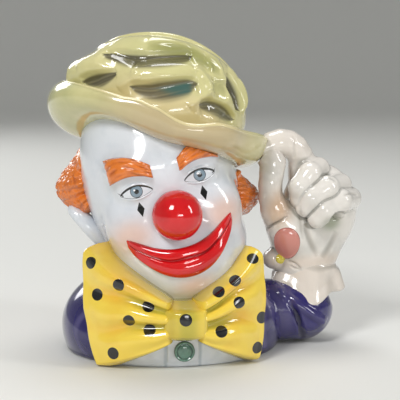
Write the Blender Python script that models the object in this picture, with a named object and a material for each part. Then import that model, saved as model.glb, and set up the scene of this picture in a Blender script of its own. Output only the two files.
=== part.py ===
"""A clown character jug: one slip-cast and glazed earthenware vessel.

The front is -Y, the handle is at +X and the origin is the middle of the foot, on the table.
The hollow goes from the mouth in the battered hat down to the floor inside the coat.
Lengths in the functions are shares of the jug's height; grid_object turns them into metres.
"""

import math

import bpy
import numpy as np

# Driving sizes, in metres.
JUG_HEIGHT = 0.165
WALL = 0.0045
FLOOR_THICKNESS = 0.006
BRIM_THICKNESS = 0.0045
RELIEF_ROOT = 0.001

# The figure keeps its proportions: one share is a 165th of its height.
SHARE = JUG_HEIGHT / 165
WALL_SHARES = WALL / SHARE
ROOT_SHARES = RELIEF_ROOT / SHARE

# Number of columns round the vessel, and of rows in each stretch of its profile.
COLUMNS = 48
COAT_ROWS = 7
FACE_ROWS = 11
BRIM_ROWS = 3
CROWN_ROWS = 10
INSIDE_ROWS = 7

# Places in shares of the height: middle of the head, and middle of the hat's band on the head.
FOOT_CENTRE = np.array([0.0, 2.0, 0.0])
HEAD_CENTRE = np.array([-6.0, 3.0, 88.0])
HEAD_LEAN = math.radians(14)
HAT_CENTRE = np.array([-8.5, 3.0, 105.0])
HAT_LEAN = math.radians(-14)
HAT_TIP = math.radians(9)
BAND_LEVEL = 0.97
COAT_CENTRE = (0.0, 2.0, 12.0)
COAT_RADII = (58.5, 50.0, 36.0)
CROWN_SHIFT = 0.05

# The face is set out by the drawing-book rule: eyes half way up the head, five eye widths across.
HEAD_TOP = 62.0
CHIN = -57.0
HEAD_WIDTH = 80.0
EYE_LINE = (HEAD_TOP + CHIN) / 2
EYE_WIDTH = HEAD_WIDTH / 5
BROW_LINE = EYE_LINE + EYE_WIDTH / 2
NOSE_BASE = (BROW_LINE + CHIN) / 2
MOUTH_LINE = NOSE_BASE + (CHIN - NOSE_BASE) / 3
NOSE_RADIUS = 12.5

COLOURS = {"glazed_earthenware": (0.86, 0.87, 0.88, 1.0)}


def axes(lean, tip=0.0):
    """Right, back and up directions of a frame that leans to -X by lean and then tips back by tip."""
    right = np.stack([np.cos(lean), np.zeros_like(lean), np.sin(lean)], -1)
    upright = np.stack([-np.sin(lean), np.zeros_like(lean), np.cos(lean)], -1)
    straight_back = np.array([0.0, 1.0, 0.0])
    tip = np.asarray(tip)[..., None]
    up = upright * np.cos(tip) + straight_back * np.sin(tip)
    back = straight_back * np.cos(tip) - upright * np.sin(tip)
    return right, back, up


HEAD_AXES = np.stack(axes(np.array(HEAD_LEAN)))
HAT_AXES = np.stack(axes(np.array(HAT_LEAN), HAT_TIP))


def bump(value, middle, half_width):
    """A smooth hill: 1 at the middle, 0 from half_width away."""
    near = np.clip(1 - ((value - middle) / half_width) ** 2, 0, 1)
    return near * near


def turn_from(angle, middle):
    """Signed angle from middle to angle, between minus and plus half a turn."""
    return (angle - middle + math.pi) % (2 * math.pi) - math.pi


def ellipsoid(points, centre, radii):
    """About the distance from points to an ellipsoid's skin, negative inside."""
    offset = (points - np.asarray(centre)) / np.asarray(radii)
    depth = np.linalg.norm(offset, axis=-1)
    slope = np.linalg.norm(offset / np.asarray(radii), axis=-1)
    return depth * (depth - 1) / np.maximum(slope, 1e-9)


def join(first, second, softness):
    """Two forms made one, with a fillet of about this softness where they meet."""
    near = np.maximum(softness - np.abs(first - second), 0) / softness
    return np.minimum(first, second) - near * near * softness / 4


def carve(form, tool, softness):
    """A form with a softly edged tool taken out of it."""
    return -join(-form, tool, softness)


def head_form(points):
    """Skull, jaw, cheeks, chin, brow and bridge as one soft form, in the head's own frame."""
    local = (points - HEAD_CENTRE) @ HEAD_AXES.T
    sided = np.stack([np.abs(local[..., 0]), local[..., 1], local[..., 2]], -1)
    form = ellipsoid(local, (0, 0, 2), (HEAD_WIDTH / 2, 46, 58))
    form = join(form, ellipsoid(local, (0, -17, -34), (35, 32, 26)), 9)
    form = join(form, ellipsoid(local, (0, -37, CHIN + 12), (19, 12, 12)), 9)
    form = join(form, ellipsoid(sided, (20, -30, NOSE_BASE + 8), (14, 13.5, 14)), 9)
    form = join(form, ellipsoid(local, (0, -38, MOUTH_LINE + 1), (20, 11, 12)), 8)
    form = join(form, ellipsoid(sided, (15, -37, BROW_LINE + 2), (16, 8, 7)), 8)
    form = carve(form, ellipsoid(sided, (EYE_WIDTH + 1, -51, EYE_LINE - 1), (9.5, 8, 7)), 6)
    return join(form, ellipsoid(sided, (EYE_WIDTH, -37, EYE_LINE), (8, 7, 6)), 4)


def vessel_form(points):
    """The coat's dome and the neck joined to the head."""
    coat = ellipsoid(points, COAT_CENTRE, COAT_RADII)
    neck = ellipsoid(points, (2, 6, 46), (33, 33, 34))
    return join(join(coat, neck, 8), head_form(points), 5)


def plain_form(points):
    """The vessel without its features: the shape of the hollow, which a poured clay wall leaves smooth."""
    local = (points - HEAD_CENTRE) @ HEAD_AXES.T
    head = ellipsoid(local, (0, 0, 2), (HEAD_WIDTH / 2, 46, 58))
    head = join(head, ellipsoid(local, (0, -14, -32), (32, 28, 24)), 9)
    coat = ellipsoid(points, COAT_CENTRE, COAT_RADII)
    neck = ellipsoid(points, (2, 6, 46), (33, 33, 34))
    return join(join(coat, neck, 8), head, 9)


def cast(form, origin, direction, reach=90.0, level=0.0):
    """Where each ray last leaves the form: a march inwards, then halving the step that crosses the skin."""
    marches = 30
    step = reach / marches
    inside = np.zeros(origin.shape[:-1])
    found = np.zeros(origin.shape[:-1], bool)
    for distance in np.linspace(reach - step, 0, marches):
        fresh = (form(origin + direction * distance) < level) & ~found
        inside[fresh] = distance
        found |= fresh
    outside = inside + step
    for _ in range(14):
        middle = (inside + outside) / 2
        within = form(origin + direction * middle[..., None]) < level
        inside = np.where(within, middle, inside)
        outside = np.where(within, outside, middle)
    return origin + direction * inside[..., None]


def normals_of(form, points):
    """Outward directions of a form at points on its skin, from its slope over a small step."""
    step = 0.4
    slope = [form(points + step * axis) - form(points - step * axis) for axis in np.eye(3)]
    slope = np.stack(slope, -1)
    return slope / np.linalg.norm(slope, axis=-1, keepdims=True)


def ring(level, angle):
    """Centre and outward direction of the ring at a level, from 0 at the foot to 1 at the hat's band."""
    share = np.asarray(level, float) ** 1.5
    right, back, _ = axes(HAT_LEAN * share, HAT_TIP * share)
    centre = FOOT_CENTRE + np.asarray(level)[..., None] * (HAT_CENTRE - FOOT_CENTRE)
    outward = right * np.sin(angle)[..., None] - back * np.cos(angle)[..., None]
    return centre, outward


def vessel_skin(level, angle, form=vessel_form, depth=0.0):
    """Points on the vessel's skin, or this far under it, for rings at level and angles from the front."""
    centre, outward = ring(level, angle)
    return cast(form, centre + 0 * outward, outward, level=-depth)


def in_hat(outward, height, angle):
    """Points at an outward distance and a height in the hat's frame."""
    right, back, up = HAT_AXES
    around = right * np.sin(angle)[..., None] - back * np.cos(angle)[..., None]
    return HAT_CENTRE + around * np.asarray(outward)[..., None] + up * np.asarray(height)[..., None]


def rim_height(angle):
    """The mouth's edge is level at the sides and back of the hat and rises in one broad wave in front."""
    return 41.8 + 11.2 * bump(turn_from(angle, math.radians(-5)), 0, 2.0)


# Each crease in the crown: angle from the front, height, half length, half width, depth and slope.
CREASES = (
    (-20, 39, 24, 6.0, 5.0, 0.10),
    (6, 20, 20, 6.5, 5.5, 0.16),
    (-72, 24, 15, 6.0, 4.5, 0.20),
    (70, 30, 15, 6.5, 4.5, -0.80),
    (150, 24, 26, 6.5, 5.0, -0.15),
    (-140, 34, 22, 6.0, 4.5, 0.20),
)


def crown_creases(angle, height):
    """How far the crown's creases cut in: lens shapes with a swelling along both long edges of each."""
    cut = np.zeros_like(angle)
    for middle, level, half_length, half_width, depth, slope in CREASES:
        along = turn_from(angle, math.radians(middle)) * 41
        rise = height - level
        size = math.hypot(1, slope)
        lengthwise = (along + slope * rise) / size
        across = (rise - slope * along) / size
        lens = np.sqrt(np.clip(1 - (lengthwise / half_length) ** 2, 0, 1))
        width = half_width * (0.35 + 0.65 * lens)
        cut += depth * lens * bump(across, 0, 1.5 * width)
        cut -= 0.45 * depth * lens * bump(np.abs(across), 2.3 * half_width, 1.4 * half_width)
    return cut


def crown_radius(angle, climb, plain=False):
    """The crown's outward distance at a share climb of its height: a swell, then a dome to the mouth."""
    dome = 1 - np.sqrt(np.clip(1 - climb**2, 0, 1))
    half_width = 39.5 + 5.5 * np.sin(math.pi * climb) - 4.5 * dome
    half_depth = 41.0 + 4.0 * np.sin(math.pi * climb) - 13.0 * dome
    radius = 1 / np.hypot(np.sin(angle) / half_width, np.cos(angle) / half_depth)
    if plain:
        return radius
    left = bump(turn_from(angle, math.radians(-88)), 0, 0.9) * bump(climb, 0.55, 0.5)
    return radius + 8.0 * left - crown_creases(angle, climb * rim_height(angle))


def brim_section(angle):
    """The brim's reach past the band, the height of its root and edge, and how far round its curl goes."""
    left = bump(turn_from(angle, math.radians(-98)), 0, 1.5)
    right = bump(turn_from(angle, math.radians(90)), 0, 0.9)
    dip = bump(turn_from(angle, math.radians(5)), 0, 0.3)
    reach = 12.5 + 9.0 * left
    root = -0.5 - 3.0 * left
    edge = 12.5 + 9.5 * left + 3.0 * right - 4.0 * dip
    curl = np.radians(98 + 30 * left)
    return reach, root, edge, curl


def foot_rows(angle):
    """The flat underside and the rounded bottom edge."""
    right, back, _ = axes(np.array(0.0))
    outward = right * np.sin(angle)[:, None] - back * np.cos(angle)[:, None]
    skin = vessel_skin(np.full_like(angle, 0.02), angle)
    radius = np.hypot(*(skin - FOOT_CENTRE)[:, :2].T)
    section = ((0.5 * radius, 0.0), (radius - 3.0, 0.0), (radius - 0.8, 1.1))
    return [FOOT_CENTRE + outward * r[:, None] + (0, 0, z) for r, z in section]


def crown_base(angle):
    """Where the brim's upper side comes back to the crown, as a height over the hat's band."""
    return brim_section(angle)[1] + BRIM_THICKNESS / SHARE + 1.0


def brim_rows(angle):
    """From the band out along the underside, round the rolled edge and back in along the upper side."""
    band = vessel_skin(np.full_like(angle, BAND_LEVEL), angle)
    start = np.linalg.norm(band - HAT_CENTRE, axis=-1)
    reach, root, edge, curl = brim_section(angle)
    thickness = BRIM_THICKNESS / SHARE
    rise = (edge - root) / (1 - np.cos(curl))
    rows = []
    for share in np.linspace(0, 1, BRIM_ROWS + 1)[1:]:
        turn = curl * share
        rows.append((start + reach * np.sin(turn), root + rise * (1 - np.cos(turn))))
    out, up = rows[-1]
    rows.append((out - 0.3 * thickness * np.sin(curl), up + 0.35 * thickness))
    rows.append((out - thickness * (0.2 + 0.55 * np.sin(curl)), up + 0.35 * thickness))
    inner_start = crown_radius(angle, 0 * angle)
    for share in np.linspace(1, 0, BRIM_ROWS + 1)[:-1]:
        turn = curl * share
        out = start + (reach - thickness) * np.sin(turn)
        up = root + thickness + (rise - thickness) * (1 - np.cos(turn))
        rows.append((np.maximum(out, inner_start + 0.8), up))
    return [in_hat(out, up, angle) for out, up in rows]


def crown_rows(angle):
    """Up the outside of the crown, over the rounded rim of the mouth and down inside to the band."""
    rim = rim_height(angle)
    base = crown_base(angle)
    rows = []
    for share in np.linspace(0, 1, CROWN_ROWS + 1):
        climb = 1 - (1 - share) ** 1.5
        rows.append((crown_radius(angle, climb + 0 * angle), base + (rim - base) * climb))
    top = crown_radius(angle, 1 + 0 * angle)
    half = WALL_SHARES / 2
    for turn in np.radians([45, 90, 135]):
        rows.append((top - half + half * math.cos(turn), rim + half * math.sin(turn)))
    for climb in np.linspace(1, 0, 6):
        inner = crown_radius(angle, climb + 0 * angle, plain=True) - WALL_SHARES - 1.0
        outer = crown_radius(angle, climb + 0 * angle) - WALL_SHARES
        rows.append((np.minimum(inner, outer), base + (rim - base) * climb))
    return [in_hat(out, up, angle) - CROWN_SHIFT * HAT_AXES[0] * up[:, None] for out, up in rows]


def vessel_rows(angle):
    """The whole closed skin as rings: underside, coat, face, brim, crown, and the hollow inside."""
    floor = FLOOR_THICKNESS / SHARE
    floor_level = floor / HAT_CENTRE[2]
    jaw_level = 0.42
    rows = foot_rows(angle)
    coat_levels = np.linspace(0.03, jaw_level, COAT_ROWS)
    face_levels = np.linspace(jaw_level, BAND_LEVEL, FACE_ROWS + 1)[1:]
    rows += [vessel_skin(np.full_like(angle, level), angle) for level in (*coat_levels, *face_levels)]
    rows += brim_rows(angle)
    rows += crown_rows(angle)
    for level in np.linspace(0.97, 0.12, INSIDE_ROWS):
        rows.append(vessel_skin(np.full_like(angle, level), angle, plain_form, WALL_SHARES))
    bottom = vessel_skin(np.full_like(angle, floor_level), angle, plain_form, WALL_SHARES)
    middle = FOOT_CENTRE + (0, 0, floor)
    flat = bottom - middle
    flat[:, 2] = 0
    rows += [middle + flat + (0, 0, 3), middle + flat * 0.93, middle + flat * 0.4]
    return rows


def grid_object(name, rows, first_pole=None, last_pole=None):
    """A closed mesh through rings of points, each end shut by a pole, by default the end ring's middle."""
    rows = np.asarray(rows, float)
    count, columns = rows.shape[:2]
    first_pole = rows[0].mean(0) if first_pole is None else first_pole
    last_pole = rows[-1].mean(0) if last_pole is None else last_pole
    points = np.concatenate([rows.reshape(-1, 3), [first_pole, last_pole]]) * SHARE
    index = np.arange(count * columns).reshape(count, columns)
    beside = np.roll(index, -1, 1)
    faces = np.stack([index[:-1], beside[:-1], beside[1:], index[1:]], -1).reshape(-1, 4).tolist()
    faces += [[count * columns, b, a] for a, b in zip(index[0], beside[0])]
    faces += [[count * columns + 1, a, b] for a, b in zip(index[-1], beside[-1])]
    return mesh_object(name, points, faces)


def mesh_object(name, points, faces):
    """A named object with an outward-facing mesh of these points and faces."""
    mesh = bpy.data.meshes.new(name)
    mesh.from_pydata(points.tolist(), [], faces)
    mesh.update()
    mesh.calc_loop_triangles()
    corners = points[np.array([t.vertices[:] for t in mesh.loop_triangles])]
    if np.linalg.det(corners).sum() < 0:
        mesh.flip_normals()
    obj = bpy.data.objects.new(name, mesh)
    bpy.context.scene.collection.objects.link(obj)
    return obj


def patch_object(name, front, back):
    """A closed relief of two grids of points that share the front grid's border."""
    rows, columns = front.shape[:2]
    front_index = np.arange(rows * columns).reshape(rows, columns)
    back_index = front_index.copy()
    inner = (rows - 2) * (columns - 2)
    back_index[1:-1, 1:-1] = rows * columns + np.arange(inner).reshape(rows - 2, columns - 2)
    points = np.concatenate([front.reshape(-1, 3), back[1:-1, 1:-1].reshape(-1, 3)]) * SHARE
    faces = []
    for index in (front_index, back_index[:, ::-1]):
        quads = np.stack([index[:-1, :-1], index[:-1, 1:], index[1:, 1:], index[1:, :-1]], -1)
        for row, column in ((0, 0), (0, -1), (-1, 0), (-1, -1)):
            corner = quads[row, column]
            first = int(np.flatnonzero(corner == index[row, column])[0])
            a, b, c, d = np.roll(corner, -first).tolist()
            faces += [[a, b, c], [a, c, d]]
        kept = np.ones(quads.shape[:2], bool)
        kept[[0, 0, -1, -1], [0, -1, 0, -1]] = False
        faces += quads[kept].tolist()
    return mesh_object(name, points, faces)


def pillow(across, along, edge):
    """A height share that is 0 on a patch's border and rounds up to 1 within a share edge of it."""
    inset = np.minimum(1 - np.abs(across), 1 - np.abs(along)) / edge
    return np.sqrt(np.clip(1 - (1 - np.clip(inset, 0, 1)) ** 2, 0, 1))


def relief(name, skin, outward, height):
    """A raised detail on a skin: its front stands height proud, its back is rooted inside the wall."""
    sunk = skin - outward * ROOT_SHARES
    raised = height > 0
    front = sunk + outward * (height + ROOT_SHARES * raised)[..., None]
    back = sunk - outward * (1.5 * ROOT_SHARES * raised)[..., None]
    return patch_object(name, front, back)


def on_face(across, up, form=vessel_form):
    """Points on the front of the head at places across and up in the head's frame, and their directions."""
    right, back, top = HEAD_AXES
    origin = HEAD_CENTRE + right * across[..., None] + top * up[..., None]
    skin = cast(form, origin, -back + 0 * origin, reach=66)
    return skin, normals_of(form, skin)


def nose():
    """The round nose: a ball whose back is flattened inside the wall."""
    right, back, up = HEAD_AXES
    height = NOSE_BASE + 0.9 * NOSE_RADIUS
    root, _ = on_face(np.zeros(1), np.array([height]))
    proud = 0.4 * NOSE_RADIUS
    centre = root[0] - back * proud
    around = np.linspace(0, 2 * math.pi, 20, endpoint=False)
    outward = np.cos(around)[:, None] * right + np.sin(around)[:, None] * up
    widest = math.acos(-(proud + 2 * ROOT_SHARES) / NOSE_RADIUS)
    tilts = np.linspace(0, widest, 7)[1:]
    rows = [centre + NOSE_RADIUS * (outward * math.sin(t) - back * math.cos(t)) for t in tilts]
    front_pole = centre - back * NOSE_RADIUS
    back_pole = centre - back * NOSE_RADIUS * math.cos(tilts[-1])
    return grid_object("nose", rows, front_pole, back_pole)


def lips():
    """The wide smiling mouth: a raised crescent with a parting line along it."""
    along, across = np.meshgrid(np.linspace(-1, 1, 19), np.linspace(-1, 1, 6), indexing="ij")
    half = (7.2 - 3.4 * along**2) * np.sqrt(np.clip(1 - np.abs(along) ** 6, 0, 1)) + 0.4
    side = 27 * along
    level = MOUTH_LINE - 1 + 15.5 * np.abs(along) ** 2.2 + across * half
    skin, outward = on_face(side, level)
    height = 2.6 * pillow(across, along, 0.45) - 0.9 * bump(across, 0.1, 0.25) * bump(along, 0, 0.9)
    return relief("lips", skin, outward, np.maximum(height, 0))


def brow(side):
    """One tufted eyebrow, thick and raised, on the right for side 1 and on the left for side -1."""
    along, across = np.meshgrid(np.linspace(-1, 1, 9), np.linspace(-1, 1, 6), indexing="ij")
    half = 4.6 - 1.4 * along
    place = side * (EYE_WIDTH + 1 - 10.5 * along)
    level = BROW_LINE + 5.5 - 3.0 * along**2 - 1.5 * along + across * half
    skin, outward = on_face(place, level)
    height = 3.2 * pillow(across, along, 0.5)
    return relief("brow", skin, outward, height)


def bow_wing(side):
    """One wing of the bow tie, pleated towards the knot and flaring to its outer edge."""
    along, across = np.meshgrid(np.linspace(-1, 1, 11), np.linspace(-1, 1, 11), indexing="ij")
    share = (along + 1) / 2
    spread = 50 - 2 * side
    angle = np.radians(6 + share * (spread + 8.5 * across))
    half = 9.5 + (21.5 - 1.0 * side) * share**0.8
    height = np.maximum(25 + 3.5 * share + across * half, 1.0)
    radial = np.stack([side * np.sin(angle), -np.cos(angle), 0 * angle], -1)
    origin = FOOT_CENTRE + np.stack([0 * angle, 0 * angle, height], -1)
    skin = cast(vessel_form, origin, radial)
    radius = np.linalg.norm(skin - origin, axis=-1)
    pleats = 1.6 * np.cos(across * 9.5 + 0.6) * (0.45 + 0.55 * share)
    front_radius = 60.5 - 2.0 * share - 4.5 * share * np.maximum(across, 0) + pleats
    front_radius = np.maximum(front_radius, radius + 2.2)
    rise = pillow(across, along, 0.2)
    sunk = radius - ROOT_SHARES
    front = origin + radial * (sunk + rise * (front_radius - sunk))[..., None]
    back = origin + radial * (sunk - 1.5 * ROOT_SHARES * (rise > 0))[..., None]
    return patch_object("bow_wing", front, back)


def bow_knot():
    """The knot of the bow tie: a bulging band between the wings."""
    along, across = np.meshgrid(np.linspace(-1, 1, 11), np.linspace(-1, 1, 9), indexing="ij")
    angle = np.radians(12.5 * along)
    height = 24.5 + across * 9.5
    radial = np.stack([np.sin(angle), -np.cos(angle), 0 * angle], -1)
    origin = FOOT_CENTRE + np.stack([0 * angle, 0 * angle, height], -1)
    skin = cast(vessel_form, origin, radial)
    radius = np.linalg.norm(skin - origin, axis=-1)
    rise = pillow(across, along, 0.25)
    sunk = radius - ROOT_SHARES
    front_radius = 63.2 - 1.6 * along**2 - 1.2 * across**2
    front = origin + radial * (sunk + rise * (front_radius - sunk))[..., None]
    back = origin + radial * (sunk - 1.5 * ROOT_SHARES * (rise > 0))[..., None]
    return patch_object("bow_knot", front, back)


def shirt_button():
    """The round button under the knot, a low dome."""
    centre = np.array([0.0, 0.0, 8.5])
    skin = cast(vessel_form, (FOOT_CENTRE + centre)[None], np.array([[0.0, -1.0, 0.0]]))[0]
    around = np.linspace(0, 2 * math.pi, 14, endpoint=False)
    disc = np.stack([np.cos(around), 0 * around, np.sin(around)], -1)
    section = ((2.8, 3.0), (4.6, 2.2), (5.2, 0.8), (5.2, -1.6))
    rows = [skin + disc * radius - (0, out, 0) for radius, out in section]
    return grid_object("shirt_button", rows)


def hair():
    """The curly fringe from ear to ear round the back, under the hat."""
    turns, across = np.meshgrid(np.linspace(-1, 1, 22), np.linspace(-1, 1, 7), indexing="ij")
    angle = math.pi + turns * (math.radians(102) - math.radians(6) * turns)
    side = np.abs(turns)
    top = 1.025 - 0.15 * bump(turns, 1, 0.6)
    bottom = 0.65 - 0.03 * bump(turns, 1, 0.5) + 0.07 * bump(turns, -1, 0.4)
    level = bottom + (top - bottom) * (across + 1) / 2
    skin = vessel_skin(level, angle)
    outward = normals_of(vessel_form, skin)
    tuft = bump(side, 0.8, 0.4)
    bulk = 5.0 + (9.8 + 1.4 * turns) * tuft * bump(across, -0.15, 1.0) - 3.0 * tuft * np.maximum(across, 0)
    curls = 0.9 * np.cos(turns * 30) * np.cos(across * 6)
    return relief("hair", skin, outward, (bulk + curls) * pillow(across, turns, 0.35))


def ear(side):
    """The lower part of an ear, which shows under the hair."""
    right, back, up = HEAD_AXES
    flare = math.radians(27)
    length = up * math.cos(flare) + side * right * math.sin(flare)
    outward = side * right * math.cos(flare) - up * math.sin(flare)
    centre = HEAD_CENTRE + side * right * 42 + back * 4 - up * 16
    around = np.linspace(0, 2 * math.pi, 12, endpoint=False)
    rows = []
    for tilt in np.radians([30, 60, 90, 120, 150]):
        loop = back * (9 * np.cos(around))[:, None] + length * (16 * np.sin(around))[:, None]
        rows.append(centre + loop * math.sin(tilt) + outward * 5.5 * math.cos(tilt))
    return grid_object("ear", rows, centre + outward * 5.5, centre - outward * 5.5)


def sweep(name, stations, sides=12):
    """A round bar along stations of (x, y, z, radius)."""
    stations = np.asarray(stations, float)
    path, radii = stations[:, :3], stations[:, 3]
    heading = np.gradient(path, axis=0)
    heading /= np.linalg.norm(heading, axis=1, keepdims=True)
    front = np.array([0.0, -1.0, 0.0]) + 0 * path
    front -= heading * (front * heading).sum(1, keepdims=True)
    front /= np.linalg.norm(front, axis=1, keepdims=True)
    beside = np.cross(heading, front)
    around = np.linspace(0, 2 * math.pi, sides, endpoint=False)
    rows = []
    for here, radius, a, b in zip(path, radii, front, beside):
        rows.append(here + radius * (np.cos(around)[:, None] * a + np.sin(around)[:, None] * b))
    tips = [path[0] - heading[0] * radii[0] * 0.5, path[-1] + heading[-1] * radii[-1] * 0.5]
    return grid_object(name, rows, *tips)


def capsule(points, start, end, first, last):
    """Distance to a round-ended bar from start to end whose radius goes from first to last."""
    start, end = np.array(start, float), np.array(end, float)
    bar = end - start
    along = np.clip(((points - start) @ bar) / (bar @ bar), 0, 1)
    distance = np.linalg.norm(points - start - along[..., None] * bar, axis=-1)
    return distance - (first + (last - first) * along)


def wrapped(name, form, base, top, rows, columns):
    """A soft form as a closed mesh, from rays that leave the line base to top and fan out at its ends."""
    base, top = np.array(base, float), np.array(top, float)
    along = (top - base) / np.linalg.norm(top - base)
    front = np.array([0.0, -1.0, 0.0])
    front -= along * (front @ along)
    front /= np.linalg.norm(front)
    beside = np.cross(along, front)
    around = np.linspace(0, 2 * math.pi, columns, endpoint=False)
    radial = np.cos(around)[:, None] * front + np.sin(around)[:, None] * beside
    loops = []
    for lift in np.linspace(-1, 1, rows):
        fan = math.radians(76) * lift**3
        origin = base + (top - base) * (lift + 1) / 2
        outward = radial * math.cos(fan) + along * math.sin(fan)
        loops.append(cast(form, origin + 0 * outward, outward, reach=45))
    poles = [cast(form, end[None], way[None], reach=45)[0] for end, way in ((base, -along), (top, along))]
    return grid_object(name, loops, *poles)


def curve_through(points, count):
    """Stations evenly spaced in number along a smooth curve through points, by Catmull and Rom's rule."""
    points = np.asarray(points, float)
    ends = np.vstack([2 * points[0] - points[1], points, 2 * points[-1] - points[-2]])
    where = np.linspace(0, len(points) - 1, count)
    first = np.minimum(where.astype(int), len(points) - 2)
    t = (where - first)[:, None]
    a, b, c, d = (ends[first + k] for k in range(4))
    return 0.5 * (2 * b + (c - a) * t + (2 * a - 5 * b + 4 * c - d) * t**2 + (3 * b - 3 * c + d - a) * t**3)


# Stations of the handle: x, y, z and radius in shares.
INDEX_FINGER = (
    (73, 5, 90, 8), (71.5, 3, 98.5, 7.0), (65.5, 1, 104.5, 6.8), (58, 0, 106.8, 6.9), (50.5, -1, 105, 6.4),
    (45, -2, 102, 5.4))
THUMB = (
    (64, 0, 56, 10), (56, -3, 68, 8.6), (52.5, -5, 80, 6.2), (52.5, -5, 90, 6.4), (52.5, -3, 98, 6.8),
    (48, -2, 101, 5.6))
CURLED_FINGERS = (
    ((82.5, 0, 89.5, 6.4), (72, -8, 88.5, 6.2), (65, -9.5, 80.5, 5.9), (63.5, -8, 75, 5.5)),
    ((91.5, 1, 81.5, 6.4), (79, -11, 82, 6.2), (70.5, -12.5, 75.5, 5.9), (67, -11, 69, 5.5)),
    ((96.3, 2, 75, 6.3), (86.5, -11, 75.5, 6.2), (77, -14, 71, 5.9), (73, -13, 65, 5.5)),
)


def finger_form(points, stations, softness=1.5):
    """A bent finger: round-ended bars from station to station, joined softly."""
    bars = zip(stations[:-1], stations[1:])
    forms = [capsule(points, start[:3], end[:3], start[3], end[3]) for start, end in bars]
    form = forms[0]
    for other in forms[1:]:
        form = join(form, other, softness)
    return form


def sleeve_form(points):
    """The coat's sleeve: upper arm and forearm with a soft elbow, ending inside the coat's wall."""
    upper_arm = capsule(points, (46, -1, 17.6), (68, -1, 17), 16.6, 15.8)
    forearm = capsule(points, (71, 1, 20), (71.5, 4, 30), 15.2, 12.5)
    return np.maximum(join(upper_arm, forearm, 8), -2 * ROOT_SHARES - vessel_form(points))


def hand_form(points):
    """The gloved palm, wrist, curled fingers and the hem's left lobe as one soft form."""
    form = ellipsoid(points, (79.5, 5, 70), (20.5, 14, 25))
    form = join(form, ellipsoid(points, (71, 5, 45), (18, 14.5, 17)), 9)
    form = join(form, ellipsoid(points, (63, -2, 60), (12, 11, 15)), 5)
    for stations in CURLED_FINGERS:
        form = join(form, finger_form(points, stations), 1.6)
    form = carve(form, capsule(points, (87, -15, 66.5), (99, -9, 68), 3.2, 3.6), 2.0)
    return join(form, ellipsoid(points, (54.5, 1, 44.5), (6, 8, 5.5)), 2)


def cuff():
    """The glove's flared hem, which dips in front and behind and rises at the sides of the wrist."""
    centre = np.array([73.5, 5.0, 35.0])
    right, back, up = axes(np.array(math.radians(-7)))
    around = np.linspace(0, 2 * math.pi, 24, endpoint=False)
    wave = 1 + 0.06 * np.cos(3 * around + 0.7) + 0.04 * np.cos(5 * around)
    drop = -4.4 * np.cos(2 * around) - 0.8 * np.cos(5 * around + 1)
    band = ((12, 8.5), (14.5, 7.5))
    flare = ((16.2, 1), (18.3, -4.5), (18.6, -6.5), (17, -7.8))
    lining = ((14, -5), (10, -4))
    rows = []
    for section, waved in ((band, 0), (flare, 1), (lining, 0)):
        for out, rise in section:
            reach = out * (1 + (wave - 1) * waved)
            loop = right * (reach * np.sin(around))[:, None]
            loop -= back * (0.9 * reach * np.cos(around))[:, None]
            rows.append(centre + loop + up * (rise + waved * drop)[:, None])
    return grid_object("cuff", rows)


def glaze(name, colour):
    """A glossy glaze over fired clay."""
    material = bpy.data.materials.new(name)
    material.use_nodes = True
    shader = material.node_tree.nodes["Principled BSDF"]
    shader.inputs["Base Color"].default_value = colour
    shader.inputs["Roughness"].default_value = 0.12
    shader.inputs["Metallic"].default_value = 0.0
    return material


def build():
    """One casting: the hollow vessel with every carved detail and the handle joined to it."""
    for obj in list(bpy.data.objects):
        bpy.data.objects.remove(obj)
    around = np.linspace(0, 2 * math.pi, COLUMNS, endpoint=False)
    jug = grid_object("clown_jug", vessel_rows(around))
    details = bpy.data.collections.new("joined_details")
    bpy.context.scene.collection.children.link(details)
    parts = [nose(), lips(), hair(), bow_knot(), shirt_button(), cuff()]
    parts += [make(side) for make in (brow, bow_wing, ear) for side in (-1, 1)]
    parts.append(wrapped("hand", hand_form, (70, 5, 34), (79, 3, 90), 15, 22))
    parts.append(wrapped("sleeve", sleeve_form, (57, -1, 18), (71, 0, 22), 12, 18))
    parts.append(sweep("index_finger", curve_through(INDEX_FINGER, 11)))
    parts.append(sweep("thumb", curve_through(THUMB, 11)))
    for part in parts:
        bpy.context.scene.collection.objects.unlink(part)
        details.objects.link(part)
        part.hide_render = True
        part.display_type = "WIRE"
    union = jug.modifiers.new("One casting", "BOOLEAN")
    union.operation = "UNION"
    union.solver = "EXACT"
    union.operand_type = "COLLECTION"
    union.collection = details
    jug.data.materials.append(glaze("glazed_earthenware", COLOURS["glazed_earthenware"]))
    jug.data.shade_smooth()
    jug.data.set_sharp_from_angle(angle=math.radians(40))


build()
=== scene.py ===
"""The looks of a clown character jug: one earthenware casting, painted by hand under a clear, glossy glaze.

Lengths in the functions are millimetres of the jug as modelled, 165 high; surface() turns them into metres.
The front is -Y, the handle is at +X and the origin is the middle of the foot.
Every piece is a closed skin worked out on a grid of two parameters, and all of them ride on the one body.
"""

import math

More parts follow.
